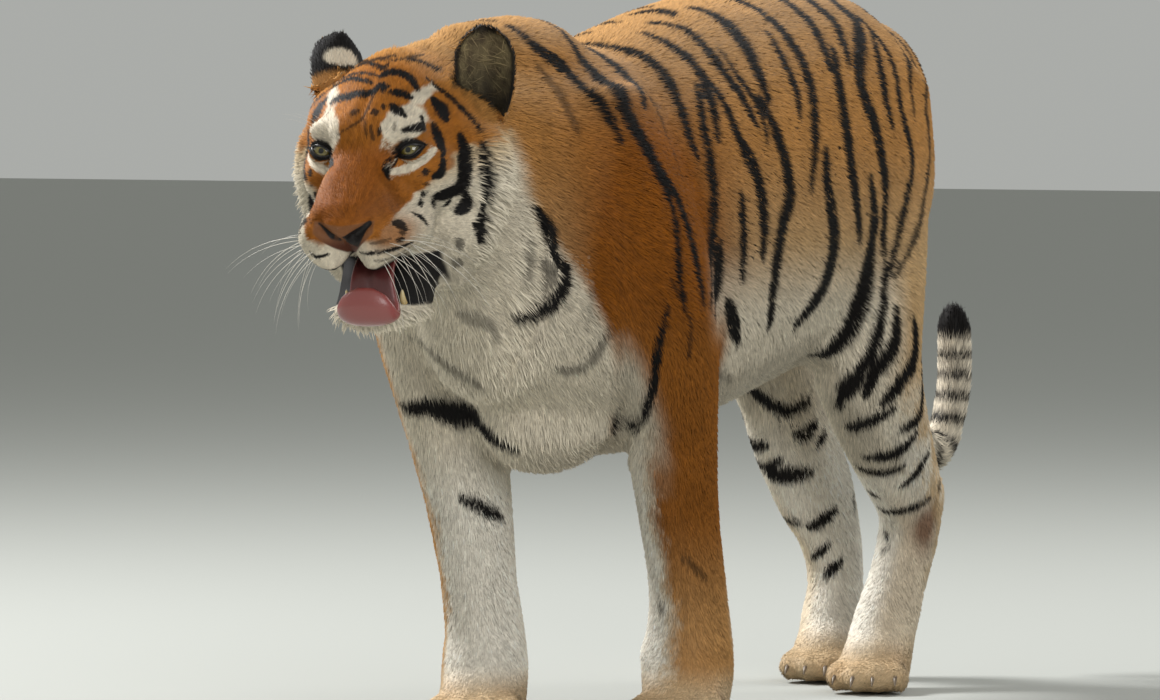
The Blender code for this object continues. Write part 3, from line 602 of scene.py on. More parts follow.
def lid_edges(local):
    """Distance outside the lids' edge, in metres, the nearer eye's."""
    best = np.full(len(local), 1.0)
    upper = np.zeros(len(local), bool)
    for side in (1, -1):
        out, up, forward = (np.array(v) for v in eye_axes(side))
        away = local - eye_centre(side)
        near = (np.linalg.norm(away, axis=1) < EYE_RADIUS + 0.009) & (away @ forward > -0.002)
        edge, rise = lid_edge(away[near], out, up, forward)
        best[near] = edge
        upper[near] = rise > 0
    return best, upper


def markings(points, normals):
    """The coat's linear colour at each place: ground colours, stripes and spots."""
    ragged = 0.0016 * grain(points, 0.010, 1) + 0.0009 * grain(points, 0.0035, 2)
    hue = ground(points, normals)
    local = to_head(points)
    turned = normals @ HEAD_TURN
    on_head = step(local[:, 1], 0.19, 0.15) * before_nape(points)
    hue = mix(hue, face_ground(local), on_head)

    bend = step(np.abs(points[:, 0]), 0.0, 0.05)
    right = points[:, 0] < 0
    twin, twin_normals = mirrored(points, normals)
    twin[:, 1] += bend * (0.018 + 0.022 * grain(points, 0.22, 4))
    base = np.where(right[:, None], twin, points)
    base_normals = np.where(right[:, None], twin_normals, normals)
    body = points[:, 1] > -0.60
    dark = [body * strokes(base, base_normals, FLANK, CM, ragged, 2.2)]
    shifted = base.copy()
    shifted[:, 1] -= np.where(right, 0.16 * step(points[:, 2], 0.58, 0.36), 0)
    outside = np.where(right, step(points[:, 0], -0.085, -0.105), 1)
    dark.append(outside * strokes(shifted, base_normals, HIND_LEG, CM, ragged, 2.1))
    dark.append(strokes(points, normals, RIGHT_LEGS, CM, ragged, 2.0))
    dark.append(strokes(points, normals, LEFT_FRONT, CM, ragged, 1.9))

    face_ragged = 0.45 * ragged
    head_marks = strokes(local, turned, BROW, MM, face_ragged, 1.8)
    other, other_normals = mirrored(local, turned)
    side = local[:, 0] > 0
    cheek_points = np.where(side[:, None], local, other)
    cheek_normals = np.where(side[:, None], turned, other_normals)
    cheek_marks = strokes(cheek_points, cheek_normals, CHEEK, MM, face_ragged, 1.8)
    cheek_marks *= np.where(side, 1, step(local[:, 0], -0.132, -0.112))
    head_marks = np.maximum(head_marks, cheek_marks)
    under = strokes(local, turned, EYE_WHITE, MM, face_ragged, 1.4)
    hue = mix(hue, PALETTE["white"], under * on_head)
    dark.append(head_marks * on_head)

    edge, upper = lid_edges(local)
    rim = np.where(upper, step(edge, 0.0072, 0.0045), step(edge, 0.0052, 0.0032))
    dark.append(rim)
    mottle = 0.09 * grain(points, 0.045, 13) + 0.10 * grain(points, 0.0045, 14)
    streaks = 0.16 * grain(local * (1, 0.35, 0.35), 0.0026, 15)
    hue = hue * (1 + mottle * (1 - 0.3 * on_head) + streaks * on_head)[:, None]
    hue = mix(hue, PALETTE["black"], np.maximum.reduce(dark))

    on_tail, along = tail_share(points)
    rings = ring_marks(along, ragged)
    tail = mix(BUFF, PALETTE["white"], step(along, 0.3, 0.6) * 0.8 + 0.2)
    tail = mix(tail, PALETTE["black"], rings)
    hue = np.where(on_tail[:, None], tail, hue)
    hue = ear_colours(points, normals, hue)
    return hue


def ring_marks(along, ragged):
    """Rings of the tail, closer towards its black tip."""
    cover = step(along, 0.925, 0.935)
    for middle, half in ((0.08, 0.012), (0.17, 0.014), (0.26, 0.014), (0.35, 0.015),
                         (0.44, 0.015), (0.53, 0.014), (0.61, 0.013), (0.68, 0.012),
                         (0.745, 0.011), (0.80, 0.010), (0.848, 0.009), (0.893, 0.009)):
        cover = np.maximum(cover, step(np.abs(along - middle + 3 * ragged), half * 1.5, half))
    return cover


def ear_sheet_share(spot):
    """True for points on the sheet of an ear, given in that ear's axes."""
    across, back, up = spot.T
    rise = (up + 0.012) / EAR_HEIGHT
    reach = ear_reach(np.clip(rise, 0, 1))
    u = across / np.maximum(reach, 0.006)
    bend = EAR_CUP * (u * u * (1 - 0.4 * rise) + 0.35 * (rise - 0.5) ** 2)
    on = (np.abs(back + bend) < 0.013) & (up > -0.004) & (np.abs(u) < 1.2) & (rise < 1.15)
    return on, rise, np.abs(u)


def ear_inside(points, normals):
    """True inside the cups of the ears."""
    found = np.zeros(len(points), bool)
    for spot, turn in ear_spots(points):
        on, rise, u = ear_sheet_share(spot)
        found |= on & ((normals @ turn.T)[:, 1] < -0.2) & (rise > 0.2) & (rise < 0.93) & (u < .95)
    return found


def ear_colours(points, normals, hue):
    """Black backs with a white spot, pale hair inside that darkens towards the root as painted
    shade in the cup, a thin dark rim.
    """
    for spot, turn in ear_spots(points):
        across, _, up = spot.T
        on, rise, u = ear_sheet_share(spot)
        inside = step((normals @ turn.T)[:, 1], 0.05, -0.25)
        rim = np.maximum(step(u, 0.84, 0.95), step(rise, 0.90, 0.97))
        pale = mix(colour("#4E4030"), colour("#94845F"), 0.5 + 0.5 * grain(points, 0.008, 6))
        # Painted shade: the inside darkens and turns near black towards the ear's root, deep in
        # the cup.
        pale = pale * (0.35 + 0.65 * step(rise, 0.35, 0.75))[:, None]
        inner = mix(pale, PALETTE["black"], np.maximum(rim * 0.9, 0.7 * step(rise, 0.35, 0.15)))
        white = step(np.hypot((across - 0.004) / 0.023, (up - 0.066) / 0.014), 1.15, 0.85)
        outer = mix(np.tile(PALETTE["black"], (len(points), 1)), PALETTE["white"], white)
        outer = mix(PALETTE["orange"], outer, step(up, 0.036, 0.048))
        hue = np.where(on[:, None], mix(outer, inner, inside), hue)
    return hue


# ---- materials ---------------------------------------------------------------------
def new_material(name):
    made = bpy.data.materials.new(name)
    made.use_nodes = True
    return made, made.node_tree, made.node_tree.nodes["Principled BSDF"]


def add(tree, kind, settings=None, links=None):
    """One node, with its settings by attribute or socket, and links into its sockets."""
    node = tree.nodes.new(kind)
    for key, value in (settings or {}).items():
        if isinstance(key, str) and hasattr(node, key):
            setattr(node, key, value)
        else:
            node.inputs[key].default_value = value
    for key, source in (links or {}).items():
        tree.links.new(source, node.inputs[key])
    return node


def fix(shader, **values):
    for key, value in values.items():
        shader.inputs[key.replace("_", " ")].default_value = value


def tinted_material(name, bump_scale, bump_depth, **values):
    """A surface coloured by its own stored tints, with a fine grain of the given depth."""
    made, tree, shader = new_material(name)
    tint = add(tree, "ShaderNodeAttribute", {"attribute_name": "Coat"})
    tree.links.new(tint.outputs["Color"], shader.inputs["Base Color"])
    if bump_depth:
        where = add(tree, "ShaderNodeTexCoord")
        nap = add(tree, "ShaderNodeTexNoise", {"Scale": bump_scale, "Detail": 3.0},
                  {"Vector": where.outputs["Object"]})
        bump = add(tree, "ShaderNodeBump", {"Strength": 0.5, "Distance": bump_depth},
                   {"Height": nap.outputs["Fac"]})
        tree.links.new(bump.outputs["Normal"], shader.inputs["Normal"])
    fix(shader, **values)
    return made


def hide_material():
    """Short-haired hide: matt with a fine nap, but damp and glossier on the nose pad."""
    made = tinted_material("hide with a fine nap", 420.0, 0.0012, Specular_IOR_Level=0.3)
    tree = made.node_tree
    wet = add(tree, "ShaderNodeAttribute", {"attribute_name": "Wet"})
    gloss = add(tree, "ShaderNodeMapRange", {"To Min": 0.80, "To Max": 0.24},
                {"Value": wet.outputs["Fac"]})
    tree.links.new(gloss.outputs["Result"], tree.nodes["Principled BSDF"].inputs["Roughness"])
    return made


def hair_material():
    """Guard hair: keratin, each tuft its own shade, with a soft sheen along it."""
    return tinted_material("guard hair", 0, 0, Roughness=0.60, Specular_IOR_Level=0.22)


def streaked_material(name, scale, pale, darkest, roughness):
    """Horn or keratin, its pale colour broken by bands of the given share of its light."""
    made, tree, shader = new_material(name)
    where = add(tree, "ShaderNodeTexCoord")
    band = add(tree, "ShaderNodeTexNoise", {"Scale": scale, "Detail": 2.0},
               {"Vector": where.outputs["Object"]})
    ramp = add(tree, "ShaderNodeValToRGB", None, {"Fac": band.outputs["Fac"]})
    ramp.color_ramp.elements[0].color = (*(pale * darkest), 1)
    ramp.color_ramp.elements[1].color = (*pale, 1)
    tree.links.new(ramp.outputs["Color"], shader.inputs["Base Color"])
    fix(shader, Roughness=roughness)
    return made


# ---- settings ----------------------------------------------------------------------
class TigerSizes(bpy.types.PropertyGroup):
    grid: FloatProperty(name="Skin grid", description="Grid size that fuses the skin",
                        default=0.005, unit="LENGTH")
    tuft_gap: FloatProperty(name="Tuft gap", description="Distance between flank tufts",
                            default=0.0034, unit="LENGTH")
    tuft_width: FloatProperty(name="Tuft width", description="Width of a flank tuft",
                              default=0.0027, unit="LENGTH")
    whisker_length: FloatProperty(name="Whisker length",
                                  description="Length of the longest whiskers",
                                  default=0.150, unit="LENGTH")


def tint(label, description, code):
    return FloatVectorProperty(name=label, description=description, size=3, subtype="COLOR",
                               min=0, max=1, default=tuple(colour(code)))


class TigerColours(bpy.types.PropertyGroup):
    orange: tint("Orange", "Ground colour of the back and flanks", "#B88346")
    rust: tint("Rust", "Deeper colour of the shoulders", "#8D500A")
    white: tint("White", "Belly, chest, cheeks and brow", "#E2D6C0")
    stripe: tint("Stripes", "Stripes, ear backs and the tail's end", "#100C0A")
    face: tint("Face", "Ground colour of the face", "#A9681F")
    iris: tint("Iris", "The olive iris round the pupil", "#665C2C")
    tongue: tint("Tongue", "The upper side of the tongue", "#8A4A46")
    tooth: tint("Tooth", "The enamel towards a tooth's tip", "#E4D2A2")
    whisker: tint("Whiskers", "The whiskers' lighter parts", "#E7E1D4")
    claw: tint("Claws", "The lighter horn of the claws", "#907F6C")
    floor: tint("Floor", "The floor of the stage", "#ADAFAA")


def take_colours(chosen):
    """Use the colours set in the panel for the coat."""
    PALETTE.update(orange=np.array(chosen.orange), rust=np.array(chosen.rust),
                   white=np.array(chosen.white), black=np.array(chosen.stripe),
                   face=np.array(chosen.face))


# ---- the skin ----------------------------------------------------------------------
def face_share(local):
    """1 on the face, 0 behind the ears."""
    return step(local[:, 1], 0.13, 0.05) * step(np.abs(local[:, 0]), 0.16, 0.12)


def in_head(points):
    return points[:, 1] < HEAD_SPOT[1] + HEAD_DEPTH


def coat_depth(points, normals):
    """How far the skin lies inside the tips of the coat."""
    local = to_head(points)
    depth = np.full(len(points), 0.0065)
    depth += (0.0050 - depth) * step(points[:, 2], 0.42, 0.30)
    depth += (0.0035 - depth) * step(points[:, 2], 0.13, 0.08)
    depth += 0.010 * belly_share(points, normals)
    head = in_head(points)
    face = face_share(local) * head
    depth += (0.0032 - depth) * face
    depth += (0.0150 - depth) * ruff_share(local) * head * (1 - face)
    depth += 0.008 * chest_share(points, normals)
    return depth


def belly_share(points, normals):
    return (step(-normals[:, 2], 0.3, 0.8) * step(points[:, 2], 0.32, 0.38)
            * step(np.abs(points[:, 0]), 0.16, 0.10) * step(points[:, 1], -0.56, -0.48)
            * (points[:, 1] < 0.5))


def ruff_share(local):
    """1 on the long hair at the back of the cheeks and under the jaw's corners."""
    return (step(np.abs(local[:, 0]), 0.085, 0.120) * step(local[:, 2], 0.035, -0.03)
            * step(local[:, 1], 0.035, 0.075) * step(local[:, 1], 0.24, 0.17))


def chest_share(points, normals):
    """1 on the long hair down the front of the chest."""
    return (step(-normals[:, 1], 0.15, 0.6) * step(points[:, 2], 0.36, 0.40)
            * step(points[:, 2], 0.62, 0.54) * step(np.abs(points[:, 0]), 0.15, 0.10)
            * (points[:, 1] > -0.66) * (points[:, 1] < -0.25))


def merged_flesh():
    """The solids of the flesh but for the ears, with the eyes, their doubles merged."""
    shell = bmesh.new()
    for name in FLESH + ["eye_left", "eye_right"]:
        if name.startswith("ear"):
            continue
        before = len(shell.verts)
        shell.from_mesh(NODES[name].data)
        shell.verts.ensure_lookup_table()
        matrix = NODES[name].matrix_world
        for vertex in shell.verts[before:]:
            vertex.co = matrix @ vertex.co
    bmesh.ops.remove_doubles(shell, verts=shell.verts, dist=0.00002)
    mesh = bpy.data.meshes.new("skin")
    shell.to_mesh(mesh)
    shell.free()
    return mesh


def weigh(item, name, weights):
    group = item.vertex_groups.new(name=name)
    levels = np.round(np.clip(weights, 0, 1) * 20).astype(int)
    for level in range(1, 21):
        chosen = np.nonzero(levels == level)[0]
        if len(chosen):
            group.add(chosen.tolist(), level / 20, "REPLACE")
    return group.name


def refine(mesh, chooser, passes=3):
    """Split the edges of the chosen part once, and relax the new points."""
    chosen = chooser(places(mesh))
    shell = bmesh.new()
    shell.from_mesh(mesh)
    shell.verts.ensure_lookup_table()
    edges = [e for e in shell.edges if chosen[e.verts[0].index] and chosen[e.verts[1].index]]
    bmesh.ops.subdivide_edges(shell, edges=edges, cuts=1, use_grid_fill=True)
    bmesh.ops.triangulate(shell, faces=[f for f in shell.faces if len(f.verts) > 3])
    shell.to_mesh(mesh)
    shell.free()
    inside = chooser(places(mesh))
    shell = bmesh.new()
    shell.from_mesh(mesh)
    shell.verts.ensure_lookup_table()
    zone = [v for v in shell.verts if inside[v.index]]
    for _ in range(passes):
        bmesh.ops.smooth_vert(shell, verts=zone, factor=0.5, use_axis_x=True,
                              use_axis_y=True, use_axis_z=True)
    shell.to_mesh(mesh)
    shell.free()
    mesh.update()


def eye_axes(side):
    """Along, up and forward axes of an eye's opening in the head's axes."""
    forward = Vector((side * 0.11, -1.0, 0.36)).normalized()
    tilt = math.radians(LID_TILT)
    out = (Vector((side, 0, 0)) - forward * forward.x * side).normalized()
    up = out.cross(forward) * side
    if up.z < 0:
        up = -up
    lifted = (out * math.cos(tilt) + up * math.sin(tilt)).normalized()
    upward = (up * math.cos(tilt) - out * math.sin(tilt)).normalized()
    return lifted, upward, forward


def lid_edge(away, out, up, forward):
    """How far outside the lids' almond a place lies, and its height across the eye."""
    ahead = np.maximum(away @ forward, 0.004)
    along = EYE_RADIUS * np.arctan2(away @ out, ahead)
    rise = EYE_RADIUS * np.arctan2(away @ up, ahead)
    top = np.where(rise > 0, LID_RISE, LID_DROP)
    tall = np.sqrt(rise ** 2 + 0.0012 ** 2) - 0.0006
    value = (along / LID_HALF_LENGTH) ** 2 + tall / top - 1
    slope = np.sqrt(1 / top ** 2 + (2 * along / LID_HALF_LENGTH ** 2) ** 2)
    return value / slope, rise


def shape_lids(local, side):
    """Draw the skin round an eye into two lids, and sink it behind the opening."""
    centre = eye_centre(side)
    out, up, forward = (np.array(v) for v in eye_axes(side))
    away = local - centre
    reach = np.linalg.norm(away, axis=1)
    close = (reach < 0.048) & (away @ forward > -0.006)
    spot = away[close]
    far = reach[close]
    edge, _ = lid_edge(spot, out, up, forward)
    lid = EYE_RADIUS + 0.0010 + 0.0028 * step(edge, 0.0, 0.0035)
    hold = step(edge, 0.014, 0.003)
    target = np.where(edge < 0, EYE_RADIUS - 0.0035 - 0.2 * np.minimum(-edge, 0.01), lid)
    moved = far + (target - far) * hold
    moved = np.where(edge > 0, np.maximum(moved, EYE_RADIUS + 0.0014 * step(edge, -.001, .002)),
                     moved)
    result = local.copy()
    result[close] = centre + spot / far[:, None] * moved[:, None]
    return result


def turned_snout(local):
    """Lean the snout sideways a little."""
    result = local.copy()
    result[:, 0] += snout_lean(local)
    return result


def push(local, normals, spots):
    """Raise or sink the surface by bells: centre, radii and height along the normal."""
    total = np.zeros(len(local))
    for centre, radii, height in spots:
        total += height * blob(local, centre, radii)
    return local + normals * total[:, None]


def both(centre, radii, height):
    x, y, z = centre
    return [((x, y, z), radii, height), ((-x, y, z), radii, height)]


# Forms of the face: centre, radii, height. The first group is set on both sides.
PAIRED_FORMS = (
    ((0.058, -0.010, 0.026), (0.026, 0.02, 0.010), 0.0045),      # brow ridge
    ((0.030, -0.025, -0.012), (0.010, 0.02, 0.020), -0.0035),    # inner corner of the eye
    ((0.052, -0.020, -0.028), (0.022, 0.02, 0.012), 0.0025),     # cheekbone
    ((0.042, -0.080, -0.094), (0.024, 0.03, 0.024), 0.0085),     # whisker pad
    ((0.062, -0.055, -0.094), (0.022, 0.03, 0.026), 0.0070),
    ((0.034, -0.068, -0.056), (0.018, 0.04, 0.026), 0.0110),     # side of the nose
    ((0.030, -0.045, -0.028), (0.013, 0.03, 0.020), 0.0060),
    ((0.072, -0.020, -0.060), (0.012, 0.03, 0.020), -0.0025),    # hollow of the cheek
)
SINGLE_FORMS = (
    ((0, -0.030, 0.030), (0.006, 0.03, 0.030), -0.0022),         # furrow between the eyes
    ((0, 0.020, 0.070), (0.007, 0.04, 0.030), -0.0020),          # furrow of the forehead
    ((-0.036, -0.036, -0.014), (0.014, 0.030, 0.026), 0.0100),   # bridge, right side
    ((0, 0.145, 0.110), (0.062, 0.070, 0.060), 0.0160),          # crest
    ((0, 0.225, 0.100), (0.065, 0.065, 0.065), 0.0260),
)


def face_forms():
    return [form for row in PAIRED_FORMS for form in both(*row)] + list(SINGLE_FORMS)


def hanging_lips(local):
    """Draw the two halves of the upper lip downwards."""
    result = local.copy()
    folded = np.column_stack([np.abs(unturned(local)[:, 0]), local[:, 1:]])
    lobes = blob(folded, (0.024, -0.088, -0.118), (0.030, 0.030, 0.026))
    result[:, 2] -= 0.019 * lobes * step(local[:, 2], -0.098, -0.113)
    return result


def deep_jaw(local):
    """Draw the lower jaw's sides and chin downwards."""
    x, y, z = local.T
    share = (step(z, -0.162, -0.186) * step(y, 0.105, 0.060) * step(np.abs(x), 0.105, 0.080))
    result = local.copy()
    result[:, 2] -= share * (0.010 + 0.026 * step(y, -0.045, 0.030))
    result[:, 0] += share * 0.006 * np.sign(x) * step(np.abs(x), 0.020, 0.045)
    return result


def jaw_line(y):
    """Height at which the black lining of the lower jaw gives way to white hair."""
    return np.interp(y, (-.080, -.055, -.030, .045, .070), (-.180, -.188, -.198, -.214, -.200))


def chin_share(local):
    """1 on the hair below the lower jaw's lining."""
    x, y, z = local.T
    return (step(z - jaw_line(y), 0.002, -0.004) * step(y, 0.100, 0.075)
            * step(np.abs(x), 0.085, 0.075) * step(z, -0.170, -0.176))


NOSTRIL = ((0.009, -0.098, -0.093), (0.015, -0.098, -0.088), (0.024, -0.096, -0.080),
           (0.035, -0.093, -0.071))
GROOVE = ((0, -0.104, -0.108), (0, -0.098, -0.116), (0, -0.090, -0.126))


def nose_forms():
    """Nostrils, the wings over them, the groove between the pads and the pad's rim."""
    forms = []
    for x, y, z in curve(NOSTRIL, 2):
        forms += both((x, y, z), (0.0058, 0.012, 0.0058), -0.0046)
    forms += both((0.020, -0.104, -0.070), (0.010, 0.012, 0.006), 0.0030)
    for t in (0.0, 0.33, 0.67, 1.0):
        forms.append(((0, -0.106 + 0.018 * t, -0.096 - 0.020 * t),
                      (0.0028, 0.010, 0.008), -0.0030))
    return forms


def ear_sheet(stand):
    """A cupped ear with a rounded rim: points and quads in the row frame."""
    rows, columns = 34, 32
    spots, quads = [], []
    for layer in (-1, 1):
        for row in range(rows):
            rise = row / (rows - 1)
            reach = float(ear_reach(np.array(rise)))
            for column in range(columns):
                u = math.sin(math.pi * (column / (columns - 1) - 0.5))
                bend = EAR_CUP * (u * u * (1 - 0.4 * rise) + 0.35 * (rise - 0.5) ** 2)
                rim = math.sqrt(max(0.0, (1 - abs(u) ** 5) * (1 - rise ** 8)))
                thin = 0.5 * (0.0006 + EAR_THICKNESS * (1 - 0.35 * rise) * rim) * layer
                spots.append((reach * u, -bend - thin, EAR_HEIGHT * rise - 0.012))
    size = rows * columns

    def at(layer, row, column):
        return layer * size + row * columns + column
    for row in range(rows - 1):
        for column in range(columns - 1):
            quads.append((at(1, row, column), at(1, row, column + 1),
                          at(1, row + 1, column + 1), at(1, row + 1, column)))
            quads.append((at(0, row, column), at(0, row + 1, column),
                          at(0, row + 1, column + 1), at(0, row, column + 1)))
        for column, turn in ((0, 1), (columns - 1, -1)):
            ring = (at(1, row, column), at(1, row + 1, column),
                    at(0, row + 1, column), at(0, row, column))
            quads.append(ring[::turn])
    for column in range(columns - 1):
        for row, turn in ((0, 1), (rows - 1, -1)):
            ring = (at(1, row, column), at(0, row, column),
                    at(0, row, column + 1), at(1, row, column + 1))
            quads.append(ring[::turn])
    placed = np.array(spots) @ stand[:3, :3].T + stand[:3, 3]
    return placed, quads


def add_ears(mesh):
    """Join both ears to the skin as closed sheets rooted in the skull."""
    shell = bmesh.new()
    shell.from_mesh(mesh)
    for ear in (LEFT_EAR, RIGHT_EAR):
        spots, quads = ear_sheet(np.array(ear_stand(*ear)))
        made = [shell.verts.new(spot) for spot in spots]
        faces = [shell.faces.new([made[i] for i in quad]) for quad in quads]
        bmesh.ops.triangulate(shell, faces=faces)
    shell.to_mesh(mesh)
    shell.free()


def keep_largest(mesh):
    """Keep the outer skin and drop sealed pockets left at the parting planes."""
    shell = bmesh.new()
    shell.from_mesh(mesh)
    unseen = set(shell.verts)
    parts = []
    while unseen:
        queue = [unseen.pop()]
        found = set(queue)
        while queue:
            for edge in queue.pop().link_edges:
                for vertex in edge.verts:
                    if vertex in unseen:
                        unseen.discard(vertex)
                        found.add(vertex)
                        queue.append(vertex)
        parts.append(found)
    parts.sort(key=len)
    for part in parts[:-1]:
        bmesh.ops.delete(shell, geom=list(part), context="VERTS")
    shell.to_mesh(mesh)
    shell.free()
    mesh.update()


def make_skin(sizes):
    """One closed skin from the solids: fused, relaxed, set in by the coat's depth, shaped."""
    item = link(merged_flesh(), "skin")
    fuse = item.modifiers.new("fuse", "REMESH")
    fuse.mode = "VOXEL"
    fuse.voxel_size = sizes.grid
    settle(item)
    points = places(item.data)
    local = to_head(points)
    head = in_head(points)
    fine = np.where(head, face_share(local), 0)
    fine = np.maximum(fine, 0.8 * step(points[:, 2], 0.10, 0.05))
    relax = item.modifiers.new("relax", "SMOOTH")
    relax.iterations = 8
    soften = item.modifiers.new("soften", "SMOOTH")
    soften.iterations = 26
    soften.vertex_group = weigh(item, "soften", 1 - fine)
    thin = item.modifiers.new("thin", "DECIMATE")
    thin.ratio = 0.30
    thin.vertex_group = weigh(item, "thin", 1 - np.where(head, np.maximum(fine, 0.6), fine))
    thin.vertex_group_factor = 0.5
    thin.use_collapse_triangulate = True
    settle(item)
    mesh = item.data
    keep_largest(mesh)
    points = places(mesh)
    normals = normals_of(mesh)
    points = points - normals * coat_depth(points, normals)[:, None]
    points[:, 2] = np.maximum(points[:, 2], 0.0)
    put_places(mesh, points)
    refine(mesh, lambda p: in_head(p) & (face_share(to_head(p)) > 0.5))
    local = to_head(places(mesh))
    turned = normals_of(mesh) @ HEAD_TURN
    local = push(local, turned, face_forms())
    put_places(mesh, from_head(local))

    def close_up(p):
        q = to_head(p)
        lids = np.minimum(*(np.linalg.norm(q - eye_centre(side), axis=1)
                            for side in (1, -1))) < 0.036
        nose = (np.abs(q[:, 0]) < 0.042) & (q[:, 1] < -0.078) & (q[:, 2] < -0.06)
        return lids | nose
    refine(mesh, close_up, 2)
    local = to_head(places(mesh))
    for side in (1, -1):
        local = shape_lids(local, side)
    put_places(mesh, from_head(local))
    turned = normals_of(mesh) @ HEAD_TURN
    local = push(local, turned, nose_forms())
    put_places(mesh, from_head(deep_jaw(hanging_lips(turned_snout(local)))))
    add_ears(mesh)
    mesh.shade_smooth()
    return item


def unwrap(item):
    """Unwrap the skin's own shape into the map that the coat's patches follow."""
    mesh = item.data
    for layer in list(mesh.uv_layers):
        mesh.uv_layers.remove(layer)
    mesh.uv_layers.new(name="OFBake")
    bpy.ops.object.select_all(action="DESELECT")
    bpy.context.view_layer.objects.active = item
    item.select_set(True)
    bpy.ops.object.mode_set(mode="EDIT")
    bpy.ops.mesh.select_all(action="SELECT")
    bpy.ops.uv.smart_project(angle_limit=math.radians(66), island_margin=0.001)
    bpy.ops.object.mode_set(mode="OBJECT")
    item.select_set(False)


def finish_piece(item, slot, *nodes):
    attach(item, "root")
    if nodes:
        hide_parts(*nodes)


def tinted_piece(name, spots, faces, hues, material, slot, *nodes):
    """A smooth closed piece coloured by its own tints."""
    mesh = lay_mesh(name, spots, orient(spots, faces))
    tinted(mesh, "Coat", np.clip(hues, 0, 1))
    mesh.shade_smooth()
    mesh.materials.append(material)
    finish_piece(link(mesh, name), slot, *nodes)


class TIGER_OT_skin(bpy.types.Operator):
    """Build the one skin that stands for all the flesh"""
    bl_idname = "tiger.skin"
    bl_label = "Skin"

    def execute(self, context):
        take_colours(context.scene.tiger_colours)
        item = make_skin(context.scene.tiger_sizes)
        unwrap(item)
        mesh = item.data
        points, normals = places(mesh), normals_of(mesh)
        hues, wet = bare_parts(points, normals, markings(points, normals) * 0.88)
        tinted(mesh, "Coat", hues)
        layer = mesh.attributes.new("Wet", "FLOAT", "POINT")
        layer.data.foreach_set("value", wet.astype(np.float32))
        mesh.materials.clear()
        mesh.materials.append(hide_material())
        finish_piece(item, "coat", *FLESH)
        return {"FINISHED"}


def bare_parts(points, normals, hues):
    """Colours of the nose pad, nostrils, lips and mouth lining, and how wet the pad is."""
    local = to_head(points)
    pad = nose_share(local)
    speckle = 0.5 + 0.5 * grain(points, 0.0022, 11)
    low = step(unturned(local)[:, 2], -0.082, -0.104)
    skin_hue = mix(mix(PAD_BROWN, PAD_DARK, low), PAD_DARK, 0.25 * speckle)
    hues = mix(hues, skin_hue, pad)
    hues = mix(hues, LIP, nostril_share(local))
    mouth = mouth_share(local, normals @ HEAD_TURN)
    return mix(hues, LIP * 0.5, mouth), 0.45 * pad * (1 - mouth)


def nose_share(local):
    """1 on the nose pad, which narrows downwards to the groove of the lip."""
    x, y, z = unturned(local).T
    ax = np.abs(x)
    low = -0.119 + 0.86 * ax
    top = -0.071 + 0.10 * ax
    return (step(y, -0.066, -0.074) * step(z - top, 0.001, -0.002)
            * step(ax, 0.044, 0.040) * step(z - low, -0.001, 0.002))


def nostril_share(local):
    """1 in the nostrils and along the dark slits that run outwards from them."""
    places_in = unturned(local)
    size = np.where(places_in[:, 0] > 0, 0.0125, 0.0050)
    places_in[:, 0] = np.abs(places_in[:, 0])
    away, along = near_line(places_in, curve(NOSTRIL))
    size = size * (1 - 0.70 * along)
    groove = near_line(places_in, curve(GROOVE))[0]
    return np.maximum(step(away - size, 0.0008, -0.0008), step(groove, 0.0024, 0.0014))


def mouth_share(local, normals):
    """1 on the black lips and the lining of the open mouth."""
    x, y, z = local.T
    ax = np.abs(x)
    lobe = (y < -0.058) & (ax < 0.060) & (normals[:, 1] < 0.1)
    top = np.where(lobe, -0.146, -0.138)
    down = -normals[:, 2]
    inside = (step(z - top, 0.0, -0.005) * step(z - jaw_line(y), -0.002, 0.002)
              * step(y, -0.095, -0.088) * step(y, 0.075, 0.060) * step(ax, 0.078, 0.070)
              * (1 - step(down, 0.5, 0.8) * step(z, -0.170, -0.178)))
    roof = (step(down, 0.55, 0.80) * step(z, -0.108, -0.114) * step(ax, 0.062, 0.054)
            * step(y, -0.092, -0.086) * step(y, 0.075, 0.060) * step(z, -0.165, -0.155))
    return np.maximum(inside, roof)


